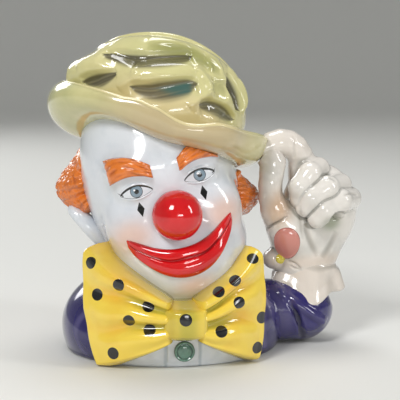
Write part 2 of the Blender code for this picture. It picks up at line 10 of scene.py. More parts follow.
import bpy
import numpy as np
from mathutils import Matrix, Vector


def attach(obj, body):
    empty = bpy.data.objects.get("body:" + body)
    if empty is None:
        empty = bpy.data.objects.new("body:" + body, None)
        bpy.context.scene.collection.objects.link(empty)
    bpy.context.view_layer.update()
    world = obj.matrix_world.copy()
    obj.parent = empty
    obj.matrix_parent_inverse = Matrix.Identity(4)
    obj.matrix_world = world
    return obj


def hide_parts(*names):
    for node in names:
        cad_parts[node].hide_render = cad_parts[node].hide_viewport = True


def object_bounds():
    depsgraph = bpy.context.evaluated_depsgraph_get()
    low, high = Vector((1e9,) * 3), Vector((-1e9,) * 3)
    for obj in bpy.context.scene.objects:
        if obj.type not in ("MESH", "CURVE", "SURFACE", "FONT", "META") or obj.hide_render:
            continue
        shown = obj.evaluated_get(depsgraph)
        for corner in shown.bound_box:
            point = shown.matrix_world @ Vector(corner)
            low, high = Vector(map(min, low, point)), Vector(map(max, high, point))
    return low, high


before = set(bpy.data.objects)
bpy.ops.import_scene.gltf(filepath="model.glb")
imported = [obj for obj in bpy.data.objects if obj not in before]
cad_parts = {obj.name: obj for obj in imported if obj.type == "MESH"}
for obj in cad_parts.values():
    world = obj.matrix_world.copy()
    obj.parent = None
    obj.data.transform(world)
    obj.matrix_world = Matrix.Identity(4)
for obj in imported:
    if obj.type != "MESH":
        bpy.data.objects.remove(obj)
CAD_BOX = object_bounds()

# One millimetre of the modelled jug in metres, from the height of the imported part.
MODELLED_HEIGHT = 165.0
SHARE = (CAD_BOX[1].z - CAD_BOX[0].z) / MODELLED_HEIGHT

# Places and sizes that the casting has as well.
WALL = 4.5
BRIM_THICKNESS = 4.5
FLOOR = 6.0
FOOT_CENTRE = np.array([0.0, 2.0, 0.0])
HEAD_CENTRE = np.array([-6.0, 3.0, 88.0])
HEAD_LEAN = math.radians(14)
HAT_CENTRE = np.array([-8.5, 3.0, 105.0])
HAT_LEAN = math.radians(-14)
HAT_TIP = math.radians(9)
BAND_LEVEL = 0.97
CROWN_SHIFT = 0.05
COAT_CENTRE = (0.0, 2.0, 12.0)
COAT_RADII = (58.5, 50.0, 36.0)

# The face is set out by the drawing-book rule: eyes half way up the head, five eye widths across.
HEAD_TOP = 62.0
CHIN = -57.0
HEAD_WIDTH = 80.0
EYE_LINE = (HEAD_TOP + CHIN) / 2
EYE_WIDTH = HEAD_WIDTH / 5
BROW_LINE = EYE_LINE + EYE_WIDTH / 2
NOSE_BASE = (BROW_LINE + CHIN) / 2
MOUTH_LINE = NOSE_BASE + (CHIN - NOSE_BASE) / 3
NOSE_RADIUS = 12.5

# How far the rim of a raised detail is sunk in the skin that carries it, and how deep its back lies.
SUNK = 0.5
ROOT = 1.6


def axes(lean, tip=0.0):
    """Right, back and up directions of a frame that leans to -X by lean and then tips back by tip."""
    right = np.stack([np.cos(lean), np.zeros_like(lean), np.sin(lean)], -1)
    upright = np.stack([-np.sin(lean), np.zeros_like(lean), np.cos(lean)], -1)
    straight_back = np.array([0.0, 1.0, 0.0])
    tip = np.asarray(tip)[..., None]
    up = upright * np.cos(tip) + straight_back * np.sin(tip)
    back = straight_back * np.cos(tip) - upright * np.sin(tip)
    return right, back, up


HEAD_AXES = np.stack(axes(np.array(HEAD_LEAN)))
HAT_AXES = np.stack(axes(np.array(HAT_LEAN), HAT_TIP))


def bump(value, middle, half_width):
    """A smooth hill: the square of 1 - t^2, where t is the distance from the middle over half_width."""
    near = np.clip(1 - ((value - middle) / half_width) ** 2, 0, 1)
    return near * near


def step(value, low, high):
    """A smooth step from 0 at low to 1 at high: 3 t^2 - 2 t^3."""
    t = np.clip((value - low) / (high - low), 0, 1)
    return t * t * (3 - 2 * t)


def turn_from(angle, middle):
    """Signed angle from middle to angle, between minus and plus half a turn."""
    return (angle - middle + math.pi) % (2 * math.pi) - math.pi


def curve_through(points, count):
    """Stations along a smooth curve through points, by Catmull and Rom's rule."""
    points = np.asarray(points, float)
    ends = np.vstack([2 * points[0] - points[1], points, 2 * points[-1] - points[-2]])
    where = np.linspace(0, len(points) - 1, count)
    first = np.minimum(where.astype(int), len(points) - 2)
    t = (where - first)[:, None]
    a, b, c, d = (ends[first + k] for k in range(4))
    return 0.5 * (2 * b + (c - a) * t + (2 * a - 5 * b + 4 * c - d) * t**2 + (3 * b - 3 * c + d - a) * t**3)


def from_path(across, along, path):
    """Distance from places in a plane to a path, the share of its length there, and the side they are on."""
    best = np.full(across.shape, 1e9)
    share = np.zeros(across.shape)
    side = np.ones(across.shape)
    pieces = len(path) - 1
    for number, (start, end) in enumerate(zip(path[:-1], path[1:])):
        way = end - start
        across_from, along_from = across - start[0], along - start[1]
        t = np.clip((across_from * way[0] + along_from * way[1]) / (way @ way), 0, 1)
        distance = np.hypot(across_from - t * way[0], along_from - t * way[1])
        nearer = distance < best
        best = np.where(nearer, distance, best)
        share = np.where(nearer, (number + t) / pieces, share)
        side = np.where(nearer, np.sign(way[0] * along_from - way[1] * across_from), side)
    return best, share, side


def ellipsoid(points, centre, radii):
    """About the distance from points to an ellipsoid's skin, negative inside."""
    offset = (points - np.asarray(centre)) / np.asarray(radii)
    depth = np.linalg.norm(offset, axis=-1)
    slope = np.linalg.norm(offset / np.asarray(radii), axis=-1)
    return depth * (depth - 1) / np.maximum(slope, 1e-9)


def capsule(points, start, end, first, last):
    """Distance to a round-ended bar from start to end whose radius goes from first to last."""
    start, end = np.array(start, float), np.array(end, float)
    along = np.clip(((points - start) @ (end - start)) / ((end - start) @ (end - start)), 0, 1)
    centre = start + along[..., None] * (end - start)
    return np.linalg.norm(points - centre, axis=-1) - (first + (last - first) * along)


def join(first, second, softness):
    """Two forms made one: the lesser distance, less a fillet h^2 s / 4 where they are nearly equal."""
    near = np.maximum(softness - np.abs(first - second), 0) / softness
    return np.minimum(first, second) - near * near * softness / 4


def carve(form, tool, softness):
    """A form with a softly edged tool taken out of it."""
    return -join(-form, tool, softness)


def head_form(points):
    """Skull, jaw, cheeks, chin, brow and bridge as one soft form, in the head's own frame."""
    local = (points - HEAD_CENTRE) @ HEAD_AXES.T
    sided = np.stack([np.abs(local[..., 0]), local[..., 1], local[..., 2]], -1)
    form = ellipsoid(local, (0, 0, 2), (HEAD_WIDTH / 2, 46, 58))
    form = join(form, ellipsoid(local, (0, -17, -34), (35, 32, 26)), 9)
    form = join(form, ellipsoid(local, (0, -37, CHIN + 12), (19, 12, 12)), 9)
    form = join(form, ellipsoid(sided, (20, -30, NOSE_BASE + 8), (14, 13.5, 14)), 9)
    form = join(form, ellipsoid(local, (0, -38, MOUTH_LINE + 1), (20, 11, 12)), 8)
    form = join(form, ellipsoid(sided, (12.5, -36.5, BROW_LINE + 2), (14, 8, 7)), 10)
    form = carve(form, ellipsoid(sided, (EYE_WIDTH + 1, -51, EYE_LINE - 1), (9.5, 8, 7)), 6)
    return join(form, ellipsoid(sided, (EYE_WIDTH, -37, EYE_LINE), (8, 7, 6)), 4)


def vessel_form(points):
    """The coat's dome and the neck joined to the head."""
    coat = ellipsoid(points, COAT_CENTRE, COAT_RADII)
    neck = ellipsoid(points, (2, 6, 46), (33, 33, 34))
    return join(join(coat, neck, 8), head_form(points), 5)


def plain_form(points):
    """The vessel without its features: the shape of the hollow."""
    local = (points - HEAD_CENTRE) @ HEAD_AXES.T
    head = ellipsoid(local, (0, 0, 2), (HEAD_WIDTH / 2, 46, 58))
    head = join(head, ellipsoid(local, (0, -14, -32), (32, 28, 24)), 9)
    coat = ellipsoid(points, COAT_CENTRE, COAT_RADII)
    neck = ellipsoid(points, (2, 6, 46), (33, 33, 34))
    return join(join(coat, neck, 8), head, 9)


# A ray looks for the skin in this many steps, and then halves the step that crosses it this many times.
MARCHES = 30
HALVINGS = 14


def cast(form, origin, direction, reach=90.0, level=0.0):
    """Where each ray last leaves the form: a march inwards from reach, then a search by halves."""
    stride = reach / MARCHES
    inside = np.zeros(origin.shape[:-1])
    found = np.zeros(origin.shape[:-1], bool)
    for distance in np.linspace(reach - stride, 0, MARCHES):
        fresh = (form(origin + direction * distance) < level) & ~found
        inside[fresh] = distance
        found |= fresh
    outside = inside + stride
    for _ in range(HALVINGS):
        middle = (inside + outside) / 2
        within = form(origin + direction * middle[..., None]) < level
        inside = np.where(within, middle, inside)
        outside = np.where(within, outside, middle)
    return origin + direction * inside[..., None]


def normals_of(form, points):
    """Outward directions of a form at points on its skin, from its slope over a small distance."""
    reach = 0.4
    slope = [form(points + reach * axis) - form(points - reach * axis) for axis in np.eye(3)]
    slope = np.stack(slope, -1)
    return slope / np.linalg.norm(slope, axis=-1, keepdims=True)


def ring(level, angle):
    """Centre and outward direction of the ring at a level, 0 at the foot and 1 at the hat's band."""
    share = np.asarray(level, float) ** 1.5
    right, back, _ = axes(HAT_LEAN * share, HAT_TIP * share)
    centre = FOOT_CENTRE + np.asarray(level)[..., None] * (HAT_CENTRE - FOOT_CENTRE)
    outward = right * np.sin(angle)[..., None] - back * np.cos(angle)[..., None]
    return centre, outward


def vessel_skin(level, angle, form=vessel_form, depth=0.0):
    """Points on the vessel's skin, or this far under it, for rings at level and angles from the front."""
    centre, outward = ring(level, angle)
    return cast(form, centre + 0 * outward, outward, level=-depth)


def in_hat(outward, height, angle):
    """Points at an outward distance and a height in the hat's frame."""
    right, back, up = HAT_AXES
    around = right * np.sin(angle)[..., None] - back * np.cos(angle)[..., None]
    return HAT_CENTRE + around * np.asarray(outward)[..., None] + up * np.asarray(height)[..., None]


def columns_round(count, front_share):
    """Angles round the jug, from the front: t - k sin t for even t, which packs them closer in front."""
    t = np.linspace(-math.pi, math.pi, count, endpoint=False)
    return t - front_share * np.sin(t)


def surface(name, rows, material, paints=None, endless=False):
    """A closed skin through loops of points: quads between loops, a fan to the middle of each end loop.

    An endless skin joins its last loop to its first instead, as on a ring. paints holds, for each named
    layer of paint, a value at each point.
    """
    rows = np.asarray(rows, float)
    count, columns = rows.shape[:2]
    points = np.concatenate([rows.reshape(-1, 3), rows[[0, -1]].mean(1)]) * SHARE
    index = np.arange(count * columns).reshape(count, columns)
    beside = np.roll(index, -1, 1)
    ahead = np.roll(index, -1, 0)
    quads = np.stack([index, beside, np.roll(beside, -1, 0), ahead], -1)
    quads = (quads if endless else quads[:-1]).reshape(-1, 4)
    poles = np.full(columns, count * columns)
    fans = [np.stack([beside[0], index[0], poles], -1), np.stack([index[-1], beside[-1], poles + 1], -1)]
    a, b, c = points[quads[:, 0]], points[quads[:, 1]], points[quads[:, 2]]
    if np.einsum("ij,ij->i", a, np.cross(b, c)).sum() < 0:
        quads = quads[:, ::-1]
        fans = [fan[:, ::-1] for fan in fans]
    faces = quads.tolist()
    if endless:
        points = points[:-2]
    else:
        faces += fans[0].tolist() + fans[1].tolist()
    mesh = bpy.data.meshes.new(name)
    mesh.from_pydata(points.tolist(), [], faces)
    mesh.update()
    mesh.shade_smooth()
    for layer, values in (paints or {}).items():
        values = np.broadcast_to(values, (count, columns))
        flat = np.concatenate([values.ravel(), values[[0, -1]].mean(1)])[: len(points)].astype(np.float32)
        mesh.attributes.new(layer, "FLOAT", "POINT").data.foreach_set("value", flat)
    mesh.materials.append(material)
    piece = bpy.data.objects.new(name, mesh)
    bpy.context.scene.collection.objects.link(piece)
    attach(piece, "root")
    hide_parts("clown_jug")
    return piece


def relief_grid(stations, front, back=6):
    """Along, across and behind values of a relief: each section goes over its front and back behind it."""
    along = np.linspace(-1, 1, stations)
    across = np.concatenate([np.linspace(-1, 1, front), np.linspace(1, -1, back + 2)[1:-1]])
    behind = np.concatenate([np.zeros(front), np.ones(back)])
    return np.broadcast_arrays(along[:, None], across[None, :], behind[None, :])


def raised(skin, outward, height, rise, behind):
    """A relief's points: sunk at its border, rise times the height proud in front, and rooted behind."""
    offset = np.where(behind > 0, -ROOT, -SUNK + rise * (height + SUNK))
    return skin + outward * offset[..., None]


def pillow(across, along, edge):
    """A share that is 0 on a patch's border and rounds up to 1, by a quarter circle, over a share edge."""
    inset = np.minimum(1 - np.abs(across), 1 - np.abs(along)) / edge
    return np.sqrt(np.clip(1 - (1 - np.clip(inset, 0, 1)) ** 2, 0, 1))


def on_face(across, up, form=vessel_form):
    """Points on the front of the head at places in its own frame, and their outward directions."""
    right, back, top = HEAD_AXES
    origin = HEAD_CENTRE + right * across[..., None] + top * up[..., None]
    skin = cast(form, origin, -back + 0 * origin, reach=66)
    return skin, normals_of(form, skin)


# Colours are sRGB hex values, as a paint maker's chart gives them.


def linear(colour):
    """An sRGB hex colour as linear RGBA."""
    channels = [int(colour[k : k + 2], 16) / 255 for k in (1, 3, 5)]
    return [c / 12.92 if c <= 0.04045 else ((c + 0.055) / 1.055) ** 2.4 for c in channels] + [1.0]


def node(tree, kind, settings=None, **inputs):
    """Add a node, set its properties, and set or link its inputs, by name or as in_NUMBER."""
    made = tree.nodes.new(kind)
    for key, value in (settings or {}).items():
        setattr(made, key, value)
    for key, value in inputs.items():
        socket = made.inputs[int(key[3:]) if key.startswith("in_") else key.replace("_", " ")]
        if isinstance(value, bpy.types.NodeSocket):
            tree.links.new(value, socket)
        else:
            socket.default_value = value
    return made


def mix_paint(tree, factor, under, over):
    """One paint laid over another where factor is 1. Each paint is a socket or a hex colour."""
    colours = [c if isinstance(c, bpy.types.NodeSocket) else linear(c) for c in (under, over)]
    made = node(tree, "ShaderNodeMix", {"data_type": "RGBA"}, in_0=factor, in_6=colours[0], in_7=colours[1])
    return made.outputs[2]


def per_metre(millimetres):
    """A texture's scale, for features of this size."""
    return 1000 / millimetres


# How strongly clouds of thicker paint show, and in mm: the glaze's ripples, their height and its specks.
CLOUD_STRENGTH = 1.6
RIPPLE_SIZE = 7.0
RIPPLE_HEIGHT = 0.03
SPECK_SIZE = 1.5


def glazed(name, thin, thick, cloud_size=9.0, layers=(), roughness=0.16):
    """A painted, clear-glazed clay: thin paint where the brush or the glaze breaks, thick where it pools.

    The layer of paint called pool is 1 in hollows and 0 on ridges. Each of layers is a paint's name, the
    values where it starts and is full, its colour, and how much of it covers.
    """
    material = bpy.data.materials.new(name)
    material.use_nodes = True
    tree = material.node_tree
    shader = tree.nodes["Principled BSDF"]
    place = node(tree, "ShaderNodeTexCoord").outputs["Object"]
    cloud = node(tree, "ShaderNodeTexNoise", Vector=place, Scale=per_metre(cloud_size), Detail=3.0)
    pool = node(tree, "ShaderNodeAttribute", {"attribute_name": "pool"})
    shade = node(tree, "ShaderNodeMath", {"operation": "MULTIPLY_ADD"}, in_0=cloud.outputs[0],
                 in_1=CLOUD_STRENGTH, in_2=-CLOUD_STRENGTH / 2)
    depth = node(tree, "ShaderNodeMath", {"operation": "ADD", "use_clamp": True}, in_0=shade.outputs[0],
                 in_1=pool.outputs["Fac"])
    colour = mix_paint(tree, depth.outputs[0], thin, thick)
    for layer, low, high, over, cover in layers:
        mark = node(tree, "ShaderNodeAttribute", {"attribute_name": layer})
        edge = node(tree, "ShaderNodeMapRange", {"interpolation_type": "SMOOTHSTEP"},
                    Value=mark.outputs["Fac"], From_Min=low, From_Max=high, To_Max=cover)
        colour = mix_paint(tree, edge.outputs[0], colour, over)
    tree.links.new(colour, shader.inputs["Base Color"])
    wave = node(tree, "ShaderNodeTexNoise", Vector=place, Scale=per_metre(RIPPLE_SIZE), Detail=2.0)
    relief = node(tree, "ShaderNodeBump", Height=wave.outputs[0],
                  Distance=RIPPLE_HEIGHT * SHARE, Strength=1.0)
    tree.links.new(relief.outputs[0], shader.inputs["Normal"])
    speck = node(tree, "ShaderNodeTexNoise", Vector=place, Scale=per_metre(SPECK_SIZE), Detail=2.0)
    sheen = node(tree, "ShaderNodeMapRange", Value=speck.outputs[0],
                 To_Min=roughness * 0.7, To_Max=roughness * 1.4)
    tree.links.new(sheen.outputs[0], shader.inputs["Roughness"])
    shader.inputs["IOR"].default_value = 1.52
    shader.inputs["Coat Weight"].default_value = 0.7
    shader.inputs["Coat Roughness"].default_value = 0.03
    shader.inputs["Coat IOR"].default_value = 1.5
    return material


# A layer that is a distance into a mark starts at 0, so that a piece without that layer shows none of it.
LINE_EDGE = (0.0, 0.12)

# White earthenware under clear glaze, for the face and the shirt: a cool white that greys where it pools.
# The coat is brushed cobalt, violet-grey where the brush ran dry and near black where it pooled.
BODY_GLAZE = glazed(
    "white_glazed_earthenware_with_cobalt_coat", "#DCE0E6", "#BFC9D3",
    layers=(
        ("blush", 0.0, 1.0, "#E2B49C", 0.7),
        ("shadow_wash", 0.0, 1.0, "#8F9AA2", 0.6),
        ("coat", *LINE_EDGE, "#231C5C", 1.0),
        ("coat_streak", 0.0, 1.0, "#5A5484", 0.85),
        ("coat_pool", 0.0, 1.0, "#110D33", 0.85),
        ("ink", *LINE_EDGE, "#0B0B0D", 1.0),
        ("iris", *LINE_EDGE, "#6F8797", 0.9),
        ("pupil", *LINE_EDGE, "#0A0A0C", 1.0),
        # A painted highlight: a white glint on each iris.
        ("painted_glint", *LINE_EDGE, "#F4F6F8", 1.0),
    ),
)

# Sage-green underglaze sprayed over the hat, creamier low on the crown, with olive painted shade in the
# folds and under the rim and pinkish-brown painted shade under the brim. The creases are washed with a dry
# dark brush in brown-grey and in teal, so each wash is streaked along its stroke.
HAT_GLAZE = glazed(
    "sage_green_glazed_earthenware", "#D3CD94", "#B3B47A", cloud_size=16.0,
    layers=(
        ("cream", 0.0, 1.0, "#DCCB9A", 0.8),
        # Pinkish-brown painted shade under the brim.
        ("under", 0.0, 1.0, "#B79A80", 0.6),
        ("olive_painted_shade", 0.0, 1.0, "#8F9150", 0.8),
        ("brown_wash", 0.0, 1.0, "#4F4A3A", 0.95),
        ("teal_wash", 0.0, 1.0, "#41655F", 0.95),
        ("inside", 0.4, 0.6, "#DDDEDA", 1.0),
    ),
)

# Selenium-red overglaze, thick and even, so it is the glossiest paint on the jug.
RED_GLAZE = glazed("selenium_red_enamel", "#D40A12", "#8E0209", cloud_size=16.0, roughness=0.1)

# Iron-orange underglaze brushed over modelled hair, thin and light on the tips and dark between them.
HAIR_GLAZE = glazed("iron_orange_underglaze_hair", "#E27A2A", "#9C4210", cloud_size=5.0)

# Vanadium-yellow underglaze: orange where it pools in the pleats, and olive painted shade near the knot, in
# the pleats beside it, under the chin and along the wings' lower edges. The dots are enamel.
BOW_GLAZE = glazed(
    "vanadium_yellow_underglaze", "#F6D650", "#EDBB35", cloud_size=14.0,
    layers=(
        ("orange_pool", 0.0, 1.0, "#E8A52A", 0.7),
        ("olive", 0.0, 1.0, "#AFA63A", 0.85),
        ("dot", *LINE_EDGE, "#101214", 1.0),
    ),
)

# Chrome-green enamel on the shirt's button, thin at its edge.
BUTTON_GLAZE = glazed("chrome_green_enamel", "#64897A", "#2C4E42", cloud_size=3.0)

# Ivory-tinted clear glaze on the glove, a little warmer at the ball of the thumb and greyer in the creases,
# with grey painted shade in the creases and wrinkles and green painted shade under the little finger.
GLOVE_GLAZE = glazed(
    "ivory_glazed_earthenware", "#E4DFD8", "#B2B1AB", cloud_size=14.0,
    layers=(
        ("warm", 0.0, 1.0, "#CBA27A", 0.8),
        ("green_painted_shade", 0.0, 1.0, "#75825F", 0.7),
        ("crease_painted_shade", 0.0, 1.0, "#6E6656", 0.7),
        ("rose", *LINE_EDGE, "#CB8478", 1.0),
        ("rose_edge", 0.0, 1.0, "#9E5A52", 0.8),
        ("lemon", *LINE_EDGE, "#C9B838", 1.0),
    ),
)

# Cobalt underglaze on the sleeve, as on the coat, and a glimpse of an orange lining at the wrist.
SLEEVE_GLAZE = glazed(
    "cobalt_blue_underglaze", "#2C2566", "#120E38", cloud_size=8.0,
    layers=(
        ("coat_streak", 0.0, 1.0, "#4A4478", 0.85),
        ("lining", *LINE_EDGE, "#C57A2C", 1.0),
    ),
)


def neckline(angle):
    """Height of the coat's upper edge: a collar round the neck that opens in front over the shirt."""
    turn = np.abs(turn_from(angle, 0))
    collar = 45.5 + 5.0 * step(turn, math.radians(80), math.radians(150))
    return -12 + (collar + 12) * step(turn, math.radians(40), math.radians(56))


def coat_relief(angle, height, turn):
    """Collar, back seam and soft folds of the coat, as a height over the skin."""
    top = neckline(angle)
    worn = step(turn, math.radians(44), math.radians(58))
    collar = 1.5 * step(top - height, -0.5, 0.6) * (1 - step(top - height, 9.5, 10.8))
    seam = -0.5 * bump(turn - math.pi, 0, 0.018) * step(top - height, 10, 12)
    folds = 0.8 * np.sin(5 * angle + 0.09 * height) * bump(height, 20, 22)
    return worn * (collar + folds) + seam


def shirt_relief(x, height):
    """The shirt's button strip, raised with a stitched step at each side, and two soft pleats beside it."""
    middle = -0.5
    strip = 0.8 * (1 - step(np.abs(x - middle), 7.4, 8.0))
    pleats = 0.5 * bump(np.abs(x - middle), 14, 4) + 0.4 * bump(np.abs(x - middle), 22, 4)
    return (strip + pleats) * (1 - step(height, 26, 34))


def blush_at(points):
    """How strongly the face is tinted: most on both cheeks and less on the chin."""
    local = (points - HEAD_CENTRE) @ HEAD_AXES.T
    cheek = np.exp(-(((np.abs(local[..., 0]) - 24) / 11) ** 2 + ((local[..., 2] - NOSE_BASE - 5) / 9) ** 2))
    chin = np.exp(-((local[..., 0] / 11) ** 2 + ((local[..., 2] - CHIN - 9) / 6) ** 2))
    return np.maximum(cheek, 0.8 * chin) * (local[..., 1] < 0)


# Columns round the body's skin and the hat's, and the rows of the body below and above the jaw.
BODY_COLUMNS = 440
HAT_COLUMNS = 330
COAT_ROWS = 66
FACE_ROWS = 122


def body_shell():
    """Underside, coat, shirt, neck and face: rings of rays cast on the vessel's form, plus low relief.

    The skin goes on inside the clay, 2 mm under the plain form, and closes over the floor.
    """
    columns = columns_round(BODY_COLUMNS, 0.5)
    foot_level = 0.02
    jaw_level, shut_level = 0.40, 1.0
    levels = np.concatenate([
        np.linspace(foot_level, jaw_level, COAT_ROWS, endpoint=False),
        np.linspace(jaw_level, shut_level, FACE_ROWS),
    ])
    level, angle = np.meshgrid(levels, columns, indexing="ij")
    opening = BROW_OPENING / (HAT_CENTRE - FOOT_CENTRE)[2] * bump(turn_from(angle, BROW_SIDE), 0, BROW_SPAN)
    skin = vessel_skin(level + opening * step(level, 0.7, 1.0), angle)
    outward = normals_of(vessel_form, skin)
    height, turn = skin[..., 2], np.abs(turn_from(angle, 0))
    shirt = 1 - step(turn, math.radians(42), math.radians(52))
    lift = coat_relief(angle, height, turn) + shirt * shirt_relief(skin[..., 0], height)
    lift = lift * step(height, 2.0, 5.0)
    skin = skin + outward * lift[..., None]
    slope = np.gradient(neckline(columns), columns) / 50
    coat = (neckline(angle) - height) / np.hypot(1, slope)
    right, back, _ = axes(np.zeros(columns.shape))
    flat = right * np.sin(columns)[:, None] - back * np.cos(columns)[:, None]
    edge = np.hypot(*(skin[0] - FOOT_CENTRE)[:, :2].T)
    foot = [FOOT_CENTRE + flat * share * edge[:, None] for share in (0.25, 0.5, 0.75, 0.93)]
    for turn_in in np.linspace(0, 90, 7):
        out = edge - 2.0 + 2.0 * math.sin(math.radians(turn_in))
        foot.append(FOOT_CENTRE + flat * out[:, None] + (0, 0, 2.0 - 2.0 * math.cos(math.radians(turn_in))))
    hidden = [vessel_skin(np.full_like(columns, share), columns, plain_form, 2.0)
              for share in np.linspace(shut_level, 0.05, 14)]
    hidden.append(FOOT_CENTRE + (hidden[-1] - FOOT_CENTRE) * (0.6, 0.6, 0) + (0, 0, 2.4))
    rows = np.concatenate([foot, skin, hidden])

    def padded(values, above=0.0):
        """Values on the skin, carried on down under the foot, and one value for the hidden side."""
        under = np.repeat(values[:1], len(foot), 0)
        return np.concatenate([under, values, np.full((len(hidden), len(columns)), above)])

    streak = np.sin(23 * angle + 3 * np.sin(height * 0.12)) * np.sin(11 * angle + 0.05 * height)
    streak = np.clip(streak, 0, 1)
    dry = np.clip(streak + 0.8 * bump(angle, math.radians(68), 0.32) * bump(height, 24, 22), 0, 1)
    fold = np.clip(-coat_relief(angle, height, turn), 0, 1) + 0.8 * (1 - step(height, 1, 5))
    shadow = bump(neckline(angle) - height, -1.5, 3.0) * step(turn, 0.9, 1.1)
    strip_edge = bump(np.abs(skin[..., 0] + 0.5), 8.6, 1.4) * (1 - step(height, 20, 26))
    paints = {
        "pool": padded(0.8 * strip_edge),
        "blush": padded(blush_at(skin)),
        "shadow_wash": padded(np.clip(0.6 * shadow + 0.5 * strip_edge, 0, 1)),
        "coat": padded(coat, -9.0),
        "coat_streak": padded(0.75 * dry * (coat > 0)),
        "coat_pool": padded(np.clip(fold, 0, 1) * (coat > 0)),
    }
    paints["coat"][: len(foot) - 6] = -9.0
    return surface("body_shell", rows, BODY_GLAZE, paints)


# Folds of the crown: points of the valley as (degrees from the front, height), its depth and half width, the
# half width of its wash, how much brown and teal is in the wash, and how much olive painted shade lies round
# it.
FOLDS = (
    (((-56, 37.0), (-44, 36.9), (-32, 37.0), (-22, 38.0), (-11, 40.2), (0, 42.6), (10, 45.0)),
     5.2, 5.4, 4.6, 1.0, 0.0, 0.3),
    (((-30, 22.6), (-18, 23.4), (-11, 24.8), (-4, 26.6), (6, 29.9), (13, 31.6)),
     5.8, 5.4, 6.0, 0.9, 1.0, 0.2),
    (((-68, 22.0), (-58, 24.2), (-52, 25.4), (-42, 28.4)), 4.4, 4.4, 3.9, 1.0, 0.0, 0.2),
    (((41, 41.0), (45, 37.5), (49, 33.4), (52, 29.8), (55, 25.5)), 5.2, 5.0, 5.8, 1.0, 0.15, 0.5),
    (((16, 21.4), (24, 22.9), (32, 22.9), (40, 21.8), (50, 20.0)), 3.8, 4.0, 4.2, 0.85, 0.2, 0.4),
    (((-26, 44.0), (-9, 45.4), (7, 45.8), (20, 44.2), (34, 41.6)), 2.8, 4.6, 0.0, 0.0, 0.0, 1.0),
    (((24, 33.0), (30, 33.4), (37, 33.0)), 3.0, 6.0, 0.0, 0.0, 0.0, 0.5),
    (((-106, 40.0), (-90, 39.4), (-76, 39.2), (-64, 41.0)), 2.6, 4.6, 0.0, 0.0, 0.0, 0.4),
    (((118, 22.0), (136, 26.5), (156, 26.0), (172, 22.0)), 4.4, 5.6, 2.9, 0.9, 0.3, 0.3),
    (((-176, 33.0), (-156, 29.0), (-134, 33.0), (-116, 38.0)), 4.2, 5.4, 2.8, 1.0, 0.0, 0.3),
    (((96, 36.0), (112, 38.0), (130, 36.0)), 3.6, 4.6, 2.2, 0.8, 0.0, 0.3),
    (((-112, 20.0), (-96, 24.0), (-86, 30.0)), 3.4, 4.4, 2.0, 0.7, 0.4, 0.3),
)

# Sharp ridges between the folds, which catch the light: points as above, height and half width.
RIDGES = (
    (((-52, 36.4), (-44, 34.6), (-36, 32.6), (-29, 30.3)), 1.7, 3.6),
    (((-38, 20.6), (-34, 23.0), (-29, 26.4), (-27, 30.0)), 1.5, 3.4),
    (((-29, 30.3), (-23, 33.0), (-14, 35.9), (-4, 38.0), (7, 39.4), (12, 38.6)), 1.2, 4.2),
    (((11, 39.6), (15, 37.4), (19, 34.6), (23, 30.6)), 2.4, 3.8),
    (((23, 30.8), (20, 27.4), (15, 23.6), (9, 19.0)), 2.2, 3.6),
    (((10, 41.4), (18, 42.6), (27, 41.6)), 1.4, 3.0),
    (((26, 35.6), (33, 36.9), (42, 38.8)), 1.6, 3.2),
    (((58, 42.0), (61, 36.0), (61, 30.0), (58, 25.0)), 1.6, 4.6),
    (((140, 34.0), (158, 32.0), (176, 36.0)), 1.5, 3.6),
    (((-160, 22.0), (-146, 24.0), (-128, 22.0)), 1.5, 3.6),
    (((98, 28.0), (110, 30.0), (120, 27.0)), 1.4, 3.4),
)
UNROLLED_RADIUS = 41.0

# The brim's root lifts off the forehead here: by how much, at which angle, and over what half span.
BROW_OPENING = 7.0
BROW_SIDE = math.radians(-52)
BROW_SPAN = 0.95


def rim_height(angle):
    """The mouth's edge is level at the sides and back of the hat and rises in one broad wave in front."""
    return 41.8 + 11.2 * bump(turn_from(angle, math.radians(-5)), 0, 2.0)


def from_crown_path(angle, height, points):
    """Distance from places on the crown, unrolled to a plane of arc and height, to a path: see from_path."""
    stations = curve_through(points, 25)
    middle = math.radians(stations[12, 0])
    path = np.stack([(np.radians(stations[:, 0]) - middle) * UNROLLED_RADIUS, stations[:, 1]], -1)
    return from_path(turn_from(angle, middle) * UNROLLED_RADIUS, height, path)


